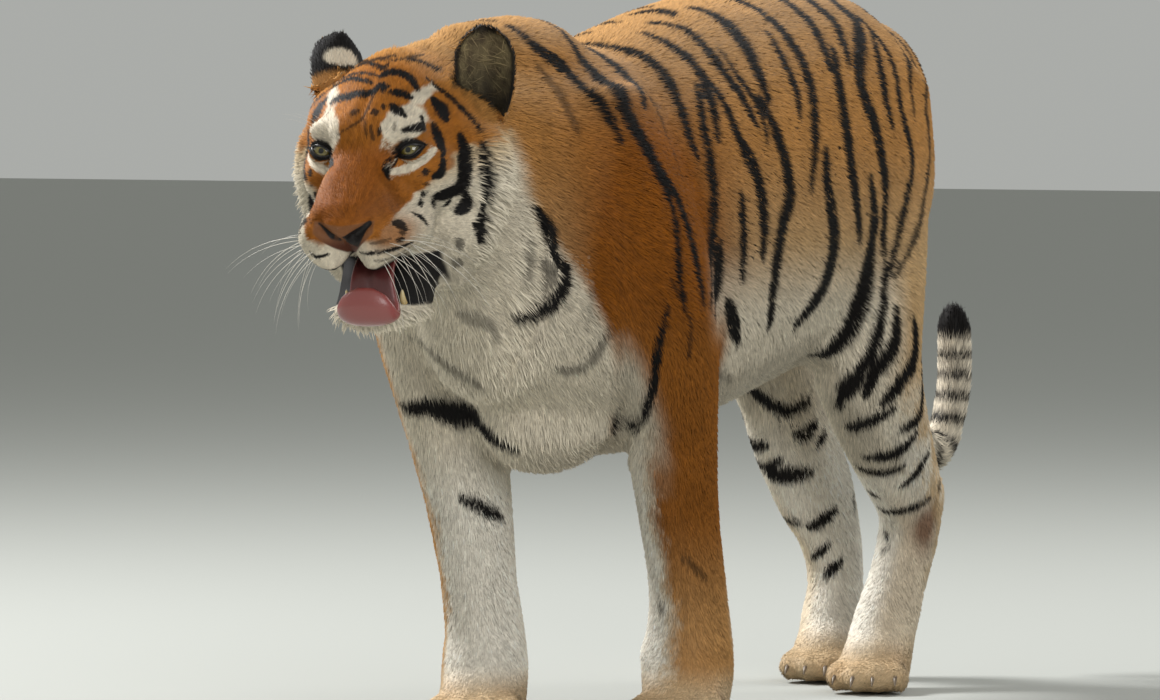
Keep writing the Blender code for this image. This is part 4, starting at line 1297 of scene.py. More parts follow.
# ---- the coat ----------------------------------------------------------------------
def lie_of(points, normals, local):
    """Which way the hair lies: back along the trunk, down the limbs, away from the nose."""
    z = points[:, 2]
    count = len(points)
    lie = np.tile((0.0, 1.0, -0.25), (count, 1))
    sidewards = np.abs(normals[:, 0])
    lie[:, 2] -= 0.35 * sidewards
    limb = np.maximum(step(z, 0.62, 0.46), step(-normals[:, 1], 0.4, 0.9) * step(z, 0.75, 0.6))
    lie = lie + (np.array((0.0, 0.22, -1.0)) - lie) * limb[:, None]
    belly = belly_share(points, normals)
    lie = lie + (np.array((0.0, 0.9, -0.35)) - lie) * belly[:, None]
    foot = step(z, 0.10, 0.05)
    lie = lie + (np.array((0.0, -0.9, -0.35)) - lie) * foot[:, None]
    away = unit(local - np.array((0.0, -0.100, -0.068)))
    away[:, 1] += 0.35
    ahead = away @ HEAD_TURN.T
    head = step(local[:, 1], 0.20, 0.10) * before_nape(points)
    lie = lie + (ahead - lie) * head[:, None]
    ruff = ruff_share(local) * head
    ruff_way = np.array((0.25, 0.75, -0.75)) * np.column_stack(
        [np.sign(local[:, 0]), np.ones(count), np.ones(count)]) @ HEAD_TURN.T
    lie = lie + (ruff_way - lie) * (0.7 * ruff)[:, None]
    for spot, turn in ear_spots(points):
        lie[ear_sheet_share(spot)[0]] = turn[2]
    on_tail, along = tail_share(points)
    way = curve(TAIL_WAY)
    spans = np.linalg.norm(np.diff(way, axis=0), axis=1)
    reach = np.concatenate([[0], np.cumsum(spans)]) / spans.sum()
    piece = np.clip(np.searchsorted(reach, along) - 1, 0, len(way) - 2)
    lie = np.where(on_tail[:, None], (way[piece + 1] - way[piece]) / spans[piece][:, None], lie)
    lie = lie - normals * (lie * normals).sum(axis=1)[:, None]
    return unit(lie)


def hair_sizes(points, local, sizes):
    """Length, width and spacing of the tufts at each place."""
    z = points[:, 2]
    count = len(points)
    long = np.full(count, 0.016)
    wide = np.full(count, sizes.tuft_width)
    gap = np.full(count, sizes.tuft_gap)

    def blend(share, length, width, spacing):
        long[:] += (length - long) * share
        wide[:] += (width - wide) * share
        gap[:] += (spacing - gap) * share
    blend(step(z, 0.50, 0.34), 0.014, 0.0022, 0.0030)
    blend(step(z, 0.13, 0.08), 0.008, 0.0017, 0.0026)
    head = step(local[:, 1], 0.22, 0.15) * before_nape(points)
    blend(head, 0.013, 0.0019, 0.0028)
    blend(face_share(local) * head, 0.0070, 0.0013, 0.0021)
    snout = step(local[:, 1], -0.01, -0.05) * head
    blend(snout, 0.0055, 0.0011, 0.0018)
    blend(snout * step(local[:, 2], -0.098, -0.108), 0.0028, 0.0009, 0.0015)
    blend(snout * step(np.abs(local[:, 0]), 0.045, 0.030) * step(local[:, 2], -.06, -.07),
          0.0022, 0.0008, 0.0014)
    on_ear = np.zeros(count)
    for spot, _ in ear_spots(points):
        on_ear = np.maximum(on_ear, ear_sheet_share(spot)[0])
    blend(on_ear, 0.007, 0.0013, 0.0022)
    blend(tail_share(points)[0], 0.021, 0.0022, 0.0030)
    return long, wide, gap


def scatter(mesh, gap_of, random):
    """Roots spread over the skin at the given spacing, with normals and map places."""
    corners = np.empty(len(mesh.polygons) * 3, np.int32)
    mesh.loops.foreach_get("vertex_index", corners)
    corners = corners.reshape(-1, 3)
    spots, normals = places(mesh), normals_of(mesh)
    uv = np.empty(len(mesh.loops) * 2, np.float32)
    mesh.uv_layers["OFBake"].data.foreach_get("uv", uv)
    uv = uv.reshape(-1, 3, 2)
    a, b, c = (spots[corners[:, i]] for i in range(3))
    area = np.linalg.norm(np.cross(b - a, c - a), axis=1) / 2
    middle = (a + b + c) / 3
    face_normal = unit(normals[corners].sum(axis=1))
    expected = area / gap_of(middle, face_normal) ** 2
    count = np.floor(expected + random.random(len(expected))).astype(int)
    pick = np.repeat(np.arange(len(corners)), count)
    r = np.sqrt(random.random(len(pick)))
    s = random.random(len(pick))
    share = np.column_stack([1 - r, r * (1 - s), r * s])[:, :, None]
    roots = (spots[corners[pick]] * share).sum(axis=1)
    facing = unit((normals[corners[pick]] * share).sum(axis=1))
    return roots, facing, (uv[pick] * share).sum(axis=1)


HALF_PATCH = 0.0015                # half a hair's patch on the skin's map
TUFTS_TO_A_PIECE = 49000           # keeps a piece under 200,000 triangles
TUFT_FACES = np.array(((0, 2, 3), (1, 3, 2), (0, 1, 2), (0, 3, 1)))


def tuft_piece(name, roots, normals, lie, length, width, rise, hues, uv, random, material):
    """One piece of the coat: closed four-sided tufts lying along the skin."""
    count = len(roots)
    side = np.cross(normals, lie)
    sway = random.normal(0, 0.16, count)[:, None]
    along = unit(lie + side * sway)
    across = unit(np.cross(normals, along))
    half = (0.5 * width)[:, None]
    start = roots - normals * 0.0010
    lift = np.sin(rise)[:, None] * length[:, None]
    run = np.cos(rise)[:, None] * length[:, None]
    points = np.empty((count, 4, 3))
    points[:, 0] = start + across * half
    points[:, 1] = start - across * half
    points[:, 2] = start + along * run * 0.30 + normals * (0.0010 + 0.45 * half + 0.45 * lift)
    points[:, 3] = start + along * run + normals * (0.0010 + lift)
    shade = random.normal(1.0, 0.13, count)[:, None]
    tints = np.empty((count, 4, 3))
    tints[:, 0] = hues[:, 0] * 0.80 * shade
    tints[:, 1] = tints[:, 0]
    tints[:, 2] = hues[:, 0] * 0.94 * shade
    tints[:, 3] = hues[:, 1] * 1.06 * shade
    bent = np.empty((count, 4, 3))
    bent[:, 0] = normals + across * 0.45
    bent[:, 1] = normals - across * 0.45
    bent[:, 2] = normals
    bent[:, 3] = normals + along * 0.25
    spread = np.array(((-1, -1), (1, -1), (0, 0), (0, 1))) * HALF_PATCH
    hair_piece(name, points, TUFT_FACES, tints, bent, uv[:, None] + spread, material)


def hair_piece(name, points, faces, tints, bent, patch, material):
    """Link one coat piece: its tints, bent normals and patches on the skin's map."""
    count, size = points.shape[:2]
    joined = faces[None] + size * np.arange(count)[:, None, None]
    mesh = lay_mesh(name, points.reshape(-1, 3), joined.reshape(-1, 3))
    tinted(mesh, "Coat", np.clip(tints, 0, 1).reshape(-1, 3))
    mesh.shade_smooth()
    mesh.normals_split_custom_set_from_vertices(unit(bent).reshape(-1, 3).tolist())
    layer = mesh.uv_layers.new(name="OFBake")
    loops = patch[:, faces.ravel()]
    layer.data.foreach_set("uv", loops.astype(np.float32).ravel())
    mesh.materials.append(material)
    finish_piece(link(mesh, name), "coat")


LOCK_RINGS = ((0.0, 1.0), (0.35, 0.95), (0.70, 0.62))


def lock_piece(name, roots, normals, lie, length, width, rise, droop, lighter, uv, random,
               material):
    """Long locks: three-sided, bent towards the lie of the coat, ending in a point."""
    count = len(roots)
    side = np.cross(normals, lie)
    along = unit(lie + side * random.normal(0, 0.14, count)[:, None])
    across = unit(np.cross(normals, along))
    rows, hues = [], []
    for share, size in LOCK_RINGS + ((1.0, 0.0),):
        out = np.sin(rise) * share * (1 - 0.45 * share)
        down = -droop * share * share
        middle = (roots - normals * 0.001
                  + length[:, None] * (along * (np.cos(rise) * share)[:, None]
                                       + normals * out[:, None]))
        middle[:, 2] += length * down
        spread = share * 0.8 * length[:, None]
        tint = markings(roots + along * spread, normals)[:, None]
        if size == 0:
            rows.append(middle[:, None])
            hues.append(tint)
            continue
        hues.append(np.repeat(tint, 3, axis=1))
        half = (0.5 * width * size)[:, None]
        ring = np.stack([middle + across * half, middle + normals * 0.7 * half,
                         middle - across * half], axis=1)
        rows.append(ring)
    points = np.concatenate(rows, axis=1)
    faces = [(0, 2, 1)]
    for k in range(2):
        for i in range(3):
            j = (i + 1) % 3
            a, b, c, d = 3 * k + i, 3 * k + j, 3 * k + 3 + j, 3 * k + 3 + i
            faces += [(a, b, c), (a, c, d)]
    for i in range(3):
        faces.append((6 + i, 6 + (i + 1) % 3, 9))
    faces = np.array(faces)
    shade = (lighter * random.normal(1.0, 0.08, count))[:, None, None]
    ramp = np.array([0.72] * 3 + [0.92] * 3 + [1.0] * 3 + [1.05])[None, :, None]
    tints = np.concatenate(hues, axis=1) * shade * ramp
    bent = np.tile(normals[:, None], (1, 10, 1))
    bent[:, 0::3][:, :3] += across[:, None] * 0.4
    bent[:, 2::3][:, :3] -= across[:, None] * 0.4
    spread = np.array([(i, j) for j in (-1, 0, 1) for i in (-1, 0, 1)] + [(0, 1)]) * HALF_PATCH
    hair_piece(name, points, faces, tints, bent, uv[:, None] + spread, material)


class TIGER_OT_coat(bpy.types.Operator):
    """Cover the skin with short tufts that carry the markings"""
    bl_idname = "tiger.coat"
    bl_label = "Short coat"

    def execute(self, context):
        sizes = context.scene.tiger_sizes
        take_colours(context.scene.tiger_colours)
        skin = bpy.data.objects["skin"].data
        random = np.random.default_rng(SEED)

        def gap_of(points, normals):
            local = to_head(points)
            gap = hair_sizes(points, local, sizes)[2]
            bare = np.maximum(nose_share(local), mouth_share(local, normals @ HEAD_TURN))
            edge = lid_edges(local)[0]
            bare = np.maximum(bare, edge < 0.0022)
            bare = np.maximum(bare, nostril_share(local))
            bare = np.maximum(bare, (points[:, 2] < 0.006) & (normals[:, 2] < -0.3))
            return np.where(bare > 0.15, 1.0, gap * (1.0))
        roots, normals, uv = scatter(skin, gap_of, random)
        local = to_head(roots)
        long, wide, _ = hair_sizes(roots, local, sizes)
        lie = lie_of(roots, normals, local)
        count = len(roots)
        long = long * random.uniform(0.72, 1.2, count)
        wide = wide * random.uniform(0.8, 1.25, count)
        deep = coat_depth(roots, normals)
        rise = np.arcsin(np.clip(0.8 * deep / long, 0.10, 0.42)) * random.uniform(.7, 1.2, count)
        stray = lie * random.normal(0, 0.0016, count)[:, None]
        hues = np.stack([markings(roots + stray + lie * (share * long)[:, None], normals)
                         for share in (0.30, 0.92)], axis=1)
        order = np.argsort(roots[:, 1], kind="stable")
        material = hair_material()
        pieces = math.ceil(count / TUFTS_TO_A_PIECE)
        for number, part in enumerate(np.array_split(order, pieces)):
            tuft_piece("coat_%d" % (number + 1), roots[part], normals[part], lie[part],
                       long[part], wide[part], rise[part], hues[part], uv[part], random,
                       material)
        return {"FINISHED"}


class TIGER_OT_locks(bpy.types.Operator):
    """Add the long hair of the ruff, chin, chest, belly and ears"""
    bl_idname = "tiger.locks"
    bl_label = "Long hair"

    def execute(self, context):
        skin = bpy.data.objects["skin"].data
        random = np.random.default_rng(SEED + 1)

        def share_of(points, normals):
            local = to_head(points)
            head = in_head(points)
            return np.maximum.reduce([ruff_share(local) * head, chest_share(points, normals),
                                      belly_share(points, normals), chin_share(local) * head])

        def gap_of(points, normals):
            share = share_of(points, normals)
            hairy = np.where(share > 0.15, 0.0052 / np.sqrt(np.maximum(share, 0.2)), 1.0)
            return np.where(ear_inside(points, normals), 0.0060, hairy)
        roots, normals, uv = scatter(skin, gap_of, random)
        local = to_head(roots)
        lie = lie_of(roots, normals, local)
        count = len(roots)
        ruff = ruff_share(local) * in_head(roots)
        share = share_of(roots, normals)
        long = (0.026 + 0.014 * ruff) * (0.55 + 0.45 * share) * random.uniform(.75, 1.2, count)
        in_ear = ear_inside(roots, normals)
        long *= np.where((local[:, 0] < 0) & in_head(roots), 0.65, 1.0)
        wide = 0.0022 * random.uniform(0.7, 1.2, count)
        rise = np.radians(random.uniform(8, 20, count))
        droop = 0.06 + 0.10 * random.random(count)
        long = np.where(in_ear, random.uniform(0.016, 0.034, count), long)
        wide = np.where(in_ear, 0.0010, wide)
        lighter = np.where(in_ear, random.uniform(0.9, 2.1, count), 1.0)
        rise = np.where(in_ear, np.radians(random.uniform(14, 40, count)), rise)
        wayward = np.column_stack([-0.7 * np.sign(local[:, 0]), np.zeros(count) - 0.3,
                                   0.5 + 0 * local[:, 0]]) @ HEAD_TURN.T
        wayward = wayward + random.normal(0, 0.35, (count, 3))
        wayward = unit(wayward - normals * (wayward * normals).sum(axis=1)[:, None])
        lie = np.where(in_ear[:, None], wayward, lie)
        chin = (chin_share(local) > 0.3) & in_head(roots)
        long = np.where(chin, random.uniform(0.012, 0.024, count), long)
        rise = np.where(chin, np.radians(random.uniform(15, 42, count)), rise)
        material = hair_material()
        halves = np.array_split(np.argsort(roots[:, 1], kind="stable"), 2)
        for number, part in enumerate(halves):
            lock_piece("long_hair_%d" % (number + 1), roots[part], normals[part], lie[part],
                       long[part], wide[part], rise[part], droop[part], lighter[part],
                       uv[part], random, material)
        return {"FINISHED"}


# ---- the eyes ----------------------------------------------------------------------
def eyeball(side, hue):
    """A glossy eye: round pupil, streaked olive iris, dark rim, a raised cornea."""
    gaze = Vector((side * 0.02, -1.0, 0.32)).normalized()
    right = gaze.cross(Vector((0, 0, 1))).normalized()
    top = right.cross(gaze).normalized()
    rings, sectors = 44, 72
    angles = math.pi * (np.linspace(0, 1, rings + 1)[1:-1] ** 1.5)
    turns = np.linspace(0, 2 * math.pi, sectors, endpoint=False)
    theta, phi = np.meshgrid(angles, turns, indexing="ij")
    theta, phi = theta.ravel(), phi.ravel()
    axis, r, t = (np.array(v) for v in (gaze, right, top))
    ways = (np.cos(theta)[:, None] * axis + np.sin(theta)[:, None]
            * (np.cos(phi)[:, None] * r + np.sin(phi)[:, None] * t))
    ways = np.vstack([axis, ways, -axis])
    theta = np.concatenate([[0], theta, [math.pi]])
    phi = np.concatenate([[0], phi, [0]])
    radius = EYE_RADIUS + 0.0010 * np.exp(-(theta / 0.45) ** 4)
    spots = eye_centre(side) + ways * radius[:, None]
    faces = []
    for s in range(sectors):
        n = (s + 1) % sectors
        faces.append((0, 1 + n, 1 + s))
        for k in range(rings - 2):
            a, b = 1 + k * sectors + s, 1 + k * sectors + n
            faces += [(a, b, b + sectors), (a, b + sectors, a + sectors)]
        last = 1 + (rings - 2) * sectors
        faces.append((last + s, last + n, len(spots) - 1))
    away = EYE_RADIUS * np.sin(np.minimum(theta, math.pi / 2))
    streak = grain(np.column_stack([np.cos(phi), np.sin(phi), 40 * away]), 0.09, 3)
    iris = mix(hue, hue * 0.36, step(away, 0.0050, 0.0120))
    iris = iris * (1 + 0.25 * streak)[:, None]
    hues = mix(iris, colour("#15100C"), step(away, 0.0122, 0.0136))
    hues = mix(hues, colour("#050505"), step(away, 0.0040, 0.0033))
    return from_head(spots), np.array(faces), hues


class TIGER_OT_eyes(bpy.types.Operator):
    """Set both eyes deep behind their lids, with dark wet lid rims"""
    bl_idname = "tiger.eyes"
    bl_label = "Eyes"

    def execute(self, context):
        wet = tinted_material("eye under a wet cornea", 0, 0, Roughness=0.06, Coat_Weight=1.0,
                              Coat_Roughness=0.02, IOR=1.38)
        rim = tinted_material("moist black lid", 900.0, 0.0003, Roughness=0.30)
        for side, name in ((1, "left"), (-1, "right")):
            spots, faces, hues = eyeball(side, np.array(context.scene.tiger_colours.iris))
            tinted_piece("eyeball_" + name, spots, faces, hues, wet, "eye", "eye_" + name)
            spots, faces = lid_rim(side)
            hues = np.tile(LIP, (len(spots), 1))
            tinted_piece("lid_rim_" + name, spots, faces, hues, rim, "eye")
        return {"FINISHED"}


def lid_rim(side):
    """A thin rounded rim along both lids' edges."""
    out, up, forward = (np.array(v) for v in eye_axes(side))
    line = []
    for t in np.linspace(-1, 1, 25):
        line.append((LID_HALF_LENGTH * t, LID_RISE * (1 - t * t)))
    for t in np.linspace(1, -1, 25)[1:-1]:
        line.append((LID_HALF_LENGTH * t, -LID_DROP * (1 - t * t)))
    ways = []
    for along, rise in line:
        a, b = along / EYE_RADIUS, rise / EYE_RADIUS
        ways.append(forward + out * math.tan(a) + up * math.tan(b))
    ways = unit(np.array(ways))
    spots = eye_centre(side) + ways * (EYE_RADIUS + 0.0008)
    return tube(from_head(spots), np.full(len(spots), 0.0016), closed=True)


def ring_faces(rings, sides, closed=False):
    """Triangles between rings of points, and over the two ends if they are open.

    The ends' middle points follow the rings."""
    faces = []
    for k in range(rings if closed else rings - 1):
        m = (k + 1) % rings
        for i in range(sides):
            j = (i + 1) % sides
            a, b, c, d = k * sides + i, k * sides + j, m * sides + j, m * sides + i
            faces += [(a, b, c), (a, c, d)]
    if not closed:
        first, last = rings * sides, rings * sides + 1
        for i in range(sides):
            j = (i + 1) % sides
            faces.append((first, j, i))
            faces.append((last, (rings - 1) * sides + i, (rings - 1) * sides + j))
    return np.array(faces)


def tube(line, radii, sides=8, closed=False):
    """A round tube along a line of places: points and triangles."""
    line = np.array(line)
    count = len(line)
    ahead = unit(np.roll(line, -1, 0) - np.roll(line, 1, 0)) if closed else \
        unit(np.gradient(line, axis=0))
    spots = []
    normal = unit(np.cross(ahead[0], (0.3, 0.2, 1.0)))
    for k in range(count):
        normal = unit(normal - ahead[k] * (normal @ ahead[k]))
        other = np.cross(ahead[k], normal)
        for i in range(sides):
            angle = 2 * math.pi * i / sides
            spots.append(line[k] + radii[k] * (math.cos(angle) * normal
                                               + math.sin(angle) * other))
    if not closed:
        spots += [line[0], line[-1]]
    return np.array(spots), ring_faces(count, sides, closed)


def orient(spots, faces):
    """Turn closed triangles so that they face outwards."""
    a, b, c = (spots[faces[:, i]] for i in range(3))
    volume = (a * np.cross(b, c)).sum()
    return faces if volume > 0 else faces[:, ::-1]


# ---- tongue and teeth --------------------------------------------------------------
TONGUE = ((0.004, 0.040, -0.124, 0.024, 0.008), (0.008, 0.000, -0.131, 0.026, 0.009),
          (0.011, -0.034, -0.139, 0.027, 0.010), (0.013, -0.056, -0.152, 0.029, 0.010),
          (0.015, -0.066, -0.170, 0.032, 0.011), (0.016, -0.074, -0.187, 0.037, 0.012),
          (0.016, -0.087, -0.197, 0.041, 0.012), (0.016, -0.101, -0.192, 0.041, 0.012),
          (0.016, -0.107, -0.178, 0.038, 0.011), (0.016, -0.105, -0.164, 0.029, 0.008),
          (0.016, -0.100, -0.157, 0.014, 0.004))


def tongue_shape(pink):
    """A thick tongue: flat root, a rounded roll over the lip, a groove down its middle."""
    line = curve(np.array(TONGUE), 7)
    spots, wide, deep = line[:, :3], line[:, 3], line[:, 4]
    ahead = unit(np.gradient(spots, axis=0))
    across = np.array((1.0, 0.0, 0.0))
    rows, sides = len(line), 56
    turns = np.linspace(0, 2 * math.pi, sides, endpoint=False)
    points = np.empty((rows, sides, 3))
    tints = np.empty((rows, sides, 3))
    # The root's mauve is darkened as painted shade under the upper lip.
    shaded_mauve, red = colour("#5C2C2A"), colour("#8A2E2C")
    before = np.array((0.0, 0.0, 1.0))
    for k in range(rows):
        top = unit(np.cross(across, ahead[k])) * -1
        if top @ before < 0:
            top = -top
        before = top
        c, s = np.cos(turns), np.sin(turns)
        u = np.sign(c) * np.abs(c) ** 0.85
        share = k / (rows - 1)
        groove = -0.22 * np.exp(-((u + 0.05) / 0.12) ** 2) * (s > 0)
        cup = 0.35 * np.abs(u) ** 3
        height = np.sign(s) * np.abs(s) ** 0.8 + groove + cup
        points[k] = (spots[k] + across * (wide[k] * u)[:, None]
                     + top * (deep[k] * height)[:, None])
        tint = mix(shaded_mauve, pink, step(share, 0.35, 0.65) + np.zeros(sides))
        tint = mix(tint, red, step(np.abs(u), 0.80, 0.97) * 0.6)
        tint = mix(tint, red, step(share, 0.90, 1.0) * 0.6 + np.zeros(sides))
        streak = 0.5 + 0.5 * np.sin(u * 34 + 2 * np.sin(9 * share))
        tint = mix(tint, shaded_mauve * 0.6, streak * 0.35 * step(share, 0.62, 0.45))
        # Painted shade in the groove down the middle of the upper side.
        tints[k] = mix(tint, shaded_mauve * 0.5, 0.7 * np.exp(-((u + 0.05) / 0.05) ** 2) * (s > 0))
    spots = np.vstack([points.reshape(-1, 3), points[0].mean(axis=0), points[-1].mean(axis=0)])
    hues = np.vstack([tints.reshape(-1, 3), tints[0, :1], tints[-1, :1]])
    return from_head(spots), ring_faces(rows, sides), hues


def fang(root, tip, radius, bend):
    """A curved conical tooth."""
    root, tip, bend = (np.array(v, float) for v in (root, tip, bend))
    t = np.linspace(0, 1, 14)
    line = root + (tip - root) * t[:, None] + bend * (4 * t * (1 - t))[:, None]
    return tube(from_head(line), radius * np.sqrt(np.clip(1 - t ** 1.6, 0.004, 1)), 16)


class TIGER_OT_mouth(bpy.types.Operator):
    """Make the wet tongue with its groove, and the lower canines"""
    bl_idname = "tiger.mouth"
    bl_label = "Tongue and teeth"

    def execute(self, context):
        wet = tinted_material("wet tongue with papillae", 1500.0, 0.0006, Roughness=0.28,
                              Coat_Weight=0.35, Coat_Roughness=0.15)
        chosen = context.scene.tiger_colours
        spots, faces, hues = tongue_shape(np.array(chosen.tongue))
        tinted_piece("tongue_shape", spots, faces, hues, wet, "tongue", "tongue")
        ivory = tinted_material("yellowed tooth enamel", 700.0, 0.0002, Roughness=0.25)
        for side, name in ((1, "left"), (-1, "right")):
            root = (side * 0.035 + 0.008, -0.032, -0.196)
            tip = (side * 0.039 + 0.008, -0.046, -0.172)
            spots, faces = fang(root, tip, 0.0048, (0, -0.004, 0))
            share = np.clip(np.linalg.norm(spots - spots[0], axis=1) / 0.036, 0, 1)
            hues = mix(TOOTH_ROOT, np.array(chosen.tooth), share)
            tinted_piece("fang_" + name, spots, faces, hues, ivory, "tooth", "canine_" + name)
        return {"FINISHED"}


# ---- whiskers and claws ------------------------------------------------------------
def repeat_group(name, material):
    """Nodes that set a shape at every point, turned and sized by the point's own values."""
    group = bpy.data.node_groups.new(name, "GeometryNodeTree")
    for label, kind in (("Points", "Geometry"), ("Shape", "Object"), ("Length", "Float"),
                        ("Seed", "Int")):
        group.interface.new_socket(name=label, in_out="INPUT",
                                   socket_type="NodeSocket" + kind)
    group.interface.new_socket(name="Geometry", in_out="OUTPUT",
                               socket_type="NodeSocketGeometry")
    source = group.nodes.new("NodeGroupInput").outputs
    drain = group.nodes.new("NodeGroupOutput")
    info = add(group, "GeometryNodeObjectInfo", None, {"Object": source["Shape"]})
    turn = add(group, "GeometryNodeInputNamedAttribute",
               {"data_type": "FLOAT_VECTOR", "Name": "turn"})
    size = add(group, "GeometryNodeInputNamedAttribute", {"data_type": "FLOAT", "Name": "size"})
    vary = add(group, "FunctionNodeRandomValue", {"data_type": "FLOAT"},
               {"Seed": source["Seed"]})
    vary.inputs[2].default_value = 0.9
    vary.inputs[3].default_value = 1.1
    own = add(group, "ShaderNodeMath", {"operation": "MULTIPLY"},
              {0: size.outputs["Attribute"], 1: source["Length"]})
    scale = add(group, "ShaderNodeMath", {"operation": "MULTIPLY"},
                {0: own.outputs[0], 1: vary.outputs[1]})
    place = add(group, "GeometryNodeInstanceOnPoints", None,
                {"Points": source["Points"], "Instance": info.outputs["Geometry"],
                 "Rotation": turn.outputs["Attribute"], "Scale": scale.outputs[0]})
    real = add(group, "GeometryNodeRealizeInstances", None,
               {"Geometry": place.outputs["Instances"]})
    paint = add(group, "GeometryNodeSetMaterial", {"Material": material},
                {"Geometry": real.outputs["Geometry"]})
    group.links.new(paint.outputs["Geometry"], drain.inputs["Geometry"])
    return group


def repeated(name, spots, turns, sizes, shape, length, material):
    """A plain mesh of one shape repeated at the given places."""
    points = bpy.data.meshes.new(name)
    points.from_pydata([tuple(v) for v in spots], [], [])
    layer = points.attributes.new("turn", "FLOAT_VECTOR", "POINT")
    layer.data.foreach_set("vector", np.array(turns, np.float32).ravel())
    layer = points.attributes.new("size", "FLOAT", "POINT")
    layer.data.foreach_set("value", np.array(sizes, np.float32))
    holder = link(points, name)
    group = repeat_group(name + " nodes", material)
    modifier = holder.modifiers.new("repeat", "NODES")
    modifier.node_group = group
    given = {"Shape": shape, "Length": length, "Seed": SEED}
    for item in group.interface.items_tree:
        if item.item_type == "SOCKET" and item.name in given and item.in_out == "INPUT":
            modifier[item.identifier] = given[item.name]
    settle(holder)
    holder.data.shade_smooth()
    return holder


def turn_to(way, up):
    """The Euler angles that point a shape's X along a way and its Z nearly up."""
    x = Vector(way).normalized()
    y = Vector(up).cross(x).normalized()
    z = x.cross(y)
    return Matrix((x, y, z)).transposed().to_euler()


def spare_shape(name, line, radii, sides):
    """A shape to repeat, kept out of sight and out of the object."""
    spots, faces = tube(np.array(line), np.array(radii), sides)
    mesh = lay_mesh(name, spots, orient(spots, faces))
    return bpy.data.objects.new(name, mesh)


WHISKER_ROWS = ((-0.096, 0.050, 0.074, 4), (-0.104, 0.044, 0.076, 5),
                (-0.112, 0.042, 0.074, 5), (-0.120, 0.042, 0.068, 4))


class TIGER_OT_whiskers(bpy.types.Operator):
    """Set the long white whiskers of the lips and the few above the eyes"""
    bl_idname = "tiger.whiskers"
    bl_label = "Whiskers"

    def execute(self, context):
        length = context.scene.tiger_sizes.whisker_length
        random = np.random.default_rng(SEED + 2)
        skin = bpy.data.objects["skin"]
        spots, turns, sizes = [], [], []

        def plant(guess, way, size):
            _, place, normal, _ = skin.closest_point_on_mesh(
                Vector(from_head(np.array([guess]))[0]))
            ahead = Vector(HEAD_TURN @ unit(np.array([way]))[0])
            ahead = ahead + normal * 0.15
            spots.append(place - normal * 0.001)
            turns.append(turn_to(ahead, (0, 0, 1)))
            sizes.append(size)
        for side in (1, -1):
            for row, (z, inner, outer, count) in enumerate(WHISKER_ROWS):
                for k in range(count):
                    share = k / (count - 1)
                    x = inner + (outer - inner) * share
                    fan = -0.10 - 0.30 * row + random.normal(0, 0.10)
                    way = (side * (0.90 - 0.12 * row), 0.42 * share - 0.05
                           + random.normal(0, 0.08), fan)
                    guess = (side * x + SNOUT_TURN * -0.07, -0.085 + 0.035 * share, z)
                    plant(guess, way, random.uniform(0.55, 1.0) * (0.75 + 0.25 * share))
            for k in range(4):
                plant((side * (0.050 + 0.008 * k), -0.020, 0.034),
                      (side * (0.25 + 0.1 * k), -0.35, 0.75), random.uniform(0.25, 0.45))
        t = np.linspace(0, 1, 12)
        line = np.column_stack([t - 0.06 * t ** 3, 0.03 * np.sin(2.2 * t), -0.30 * t ** 2.2])
        shape = spare_shape("one_whisker", line, 0.0046 * (1 - 0.93 * t), 6)
        pale = np.array(context.scene.tiger_colours.whisker)
        made = streaked_material("whisker, smooth white keratin", 60.0, pale, 0.72, 0.35)
        item = repeated("whiskers", spots, turns, sizes, shape, length, made)
        finish_piece(item, None)
        return {"FINISHED"}


class TIGER_OT_claws(bpy.types.Operator):
    """Set a sheathed claw in the fur of every toe"""
    bl_idname = "tiger.claws"
    bl_label = "Claws"

    def execute(self, context):
        spots, turns, sizes = [], [], []
        for (x, y), width, turn in PAWS:
            stand = (Matrix.Translation((x, y, 0)) @ Matrix.Translation(BUILD_SHIFT)
                     @ Matrix.Rotation(math.radians(turn), 4, "Z"))
            for toe in (-1.5, -0.5, 0.5, 1.5):
                reach = PAW_LENGTH * (0.52 - 0.050 * toe * toe)
                spots.append(stand @ Vector((toe * width * 0.232, -reach - 0.030, 0.026)))
                way = stand.to_3x3() @ Vector((0.1 * toe, -1, -0.55))
                turns.append(turn_to(way, (0, 0, 1)))
                sizes.append(1.0)
        t = np.linspace(0, 1, 10)
        line = np.column_stack([t, 0 * t, -0.28 * t ** 2])
        shape = spare_shape("one_claw", line, 0.20 * np.sqrt(1.02 - t), 10)
        horn = np.array(context.scene.tiger_colours.claw)
        made = streaked_material("claw, translucent horn", 300.0, horn, 0.2, 0.3)
        item = repeated("claws", spots, turns, sizes, shape, CLAW_LENGTH, made)
        finish_piece(item, None)
        return {"FINISHED"}


# ---- the stage ---------------------------------------------------------------------
FLOOR_HALF = 30.0
CAMERA_TURN = math.radians(28)     # towards the animal's left from straight ahead
CAMERA_DISTANCE = 13.0
CAMERA_HEIGHT = 1.0
CAMERA_ASIDE = -0.199
CAMERA_DROP = 0.0389957            # how far it looks down, per metre ahead
SENSOR_MM = 36
LENS_MM = 290.483
# Each light: name, place, power in watts, width in metres.
LIGHTS = (("key", (-4.2, -0.6, 5.0), 520, 1.8), ("side", (4.2, -4.6, 2.8), 150, 3.0),
          ("back", (2.0, 4.5, 3.8), 130, 3.0))
LIGHTS_AIM = (0, -0.1, 0.6)


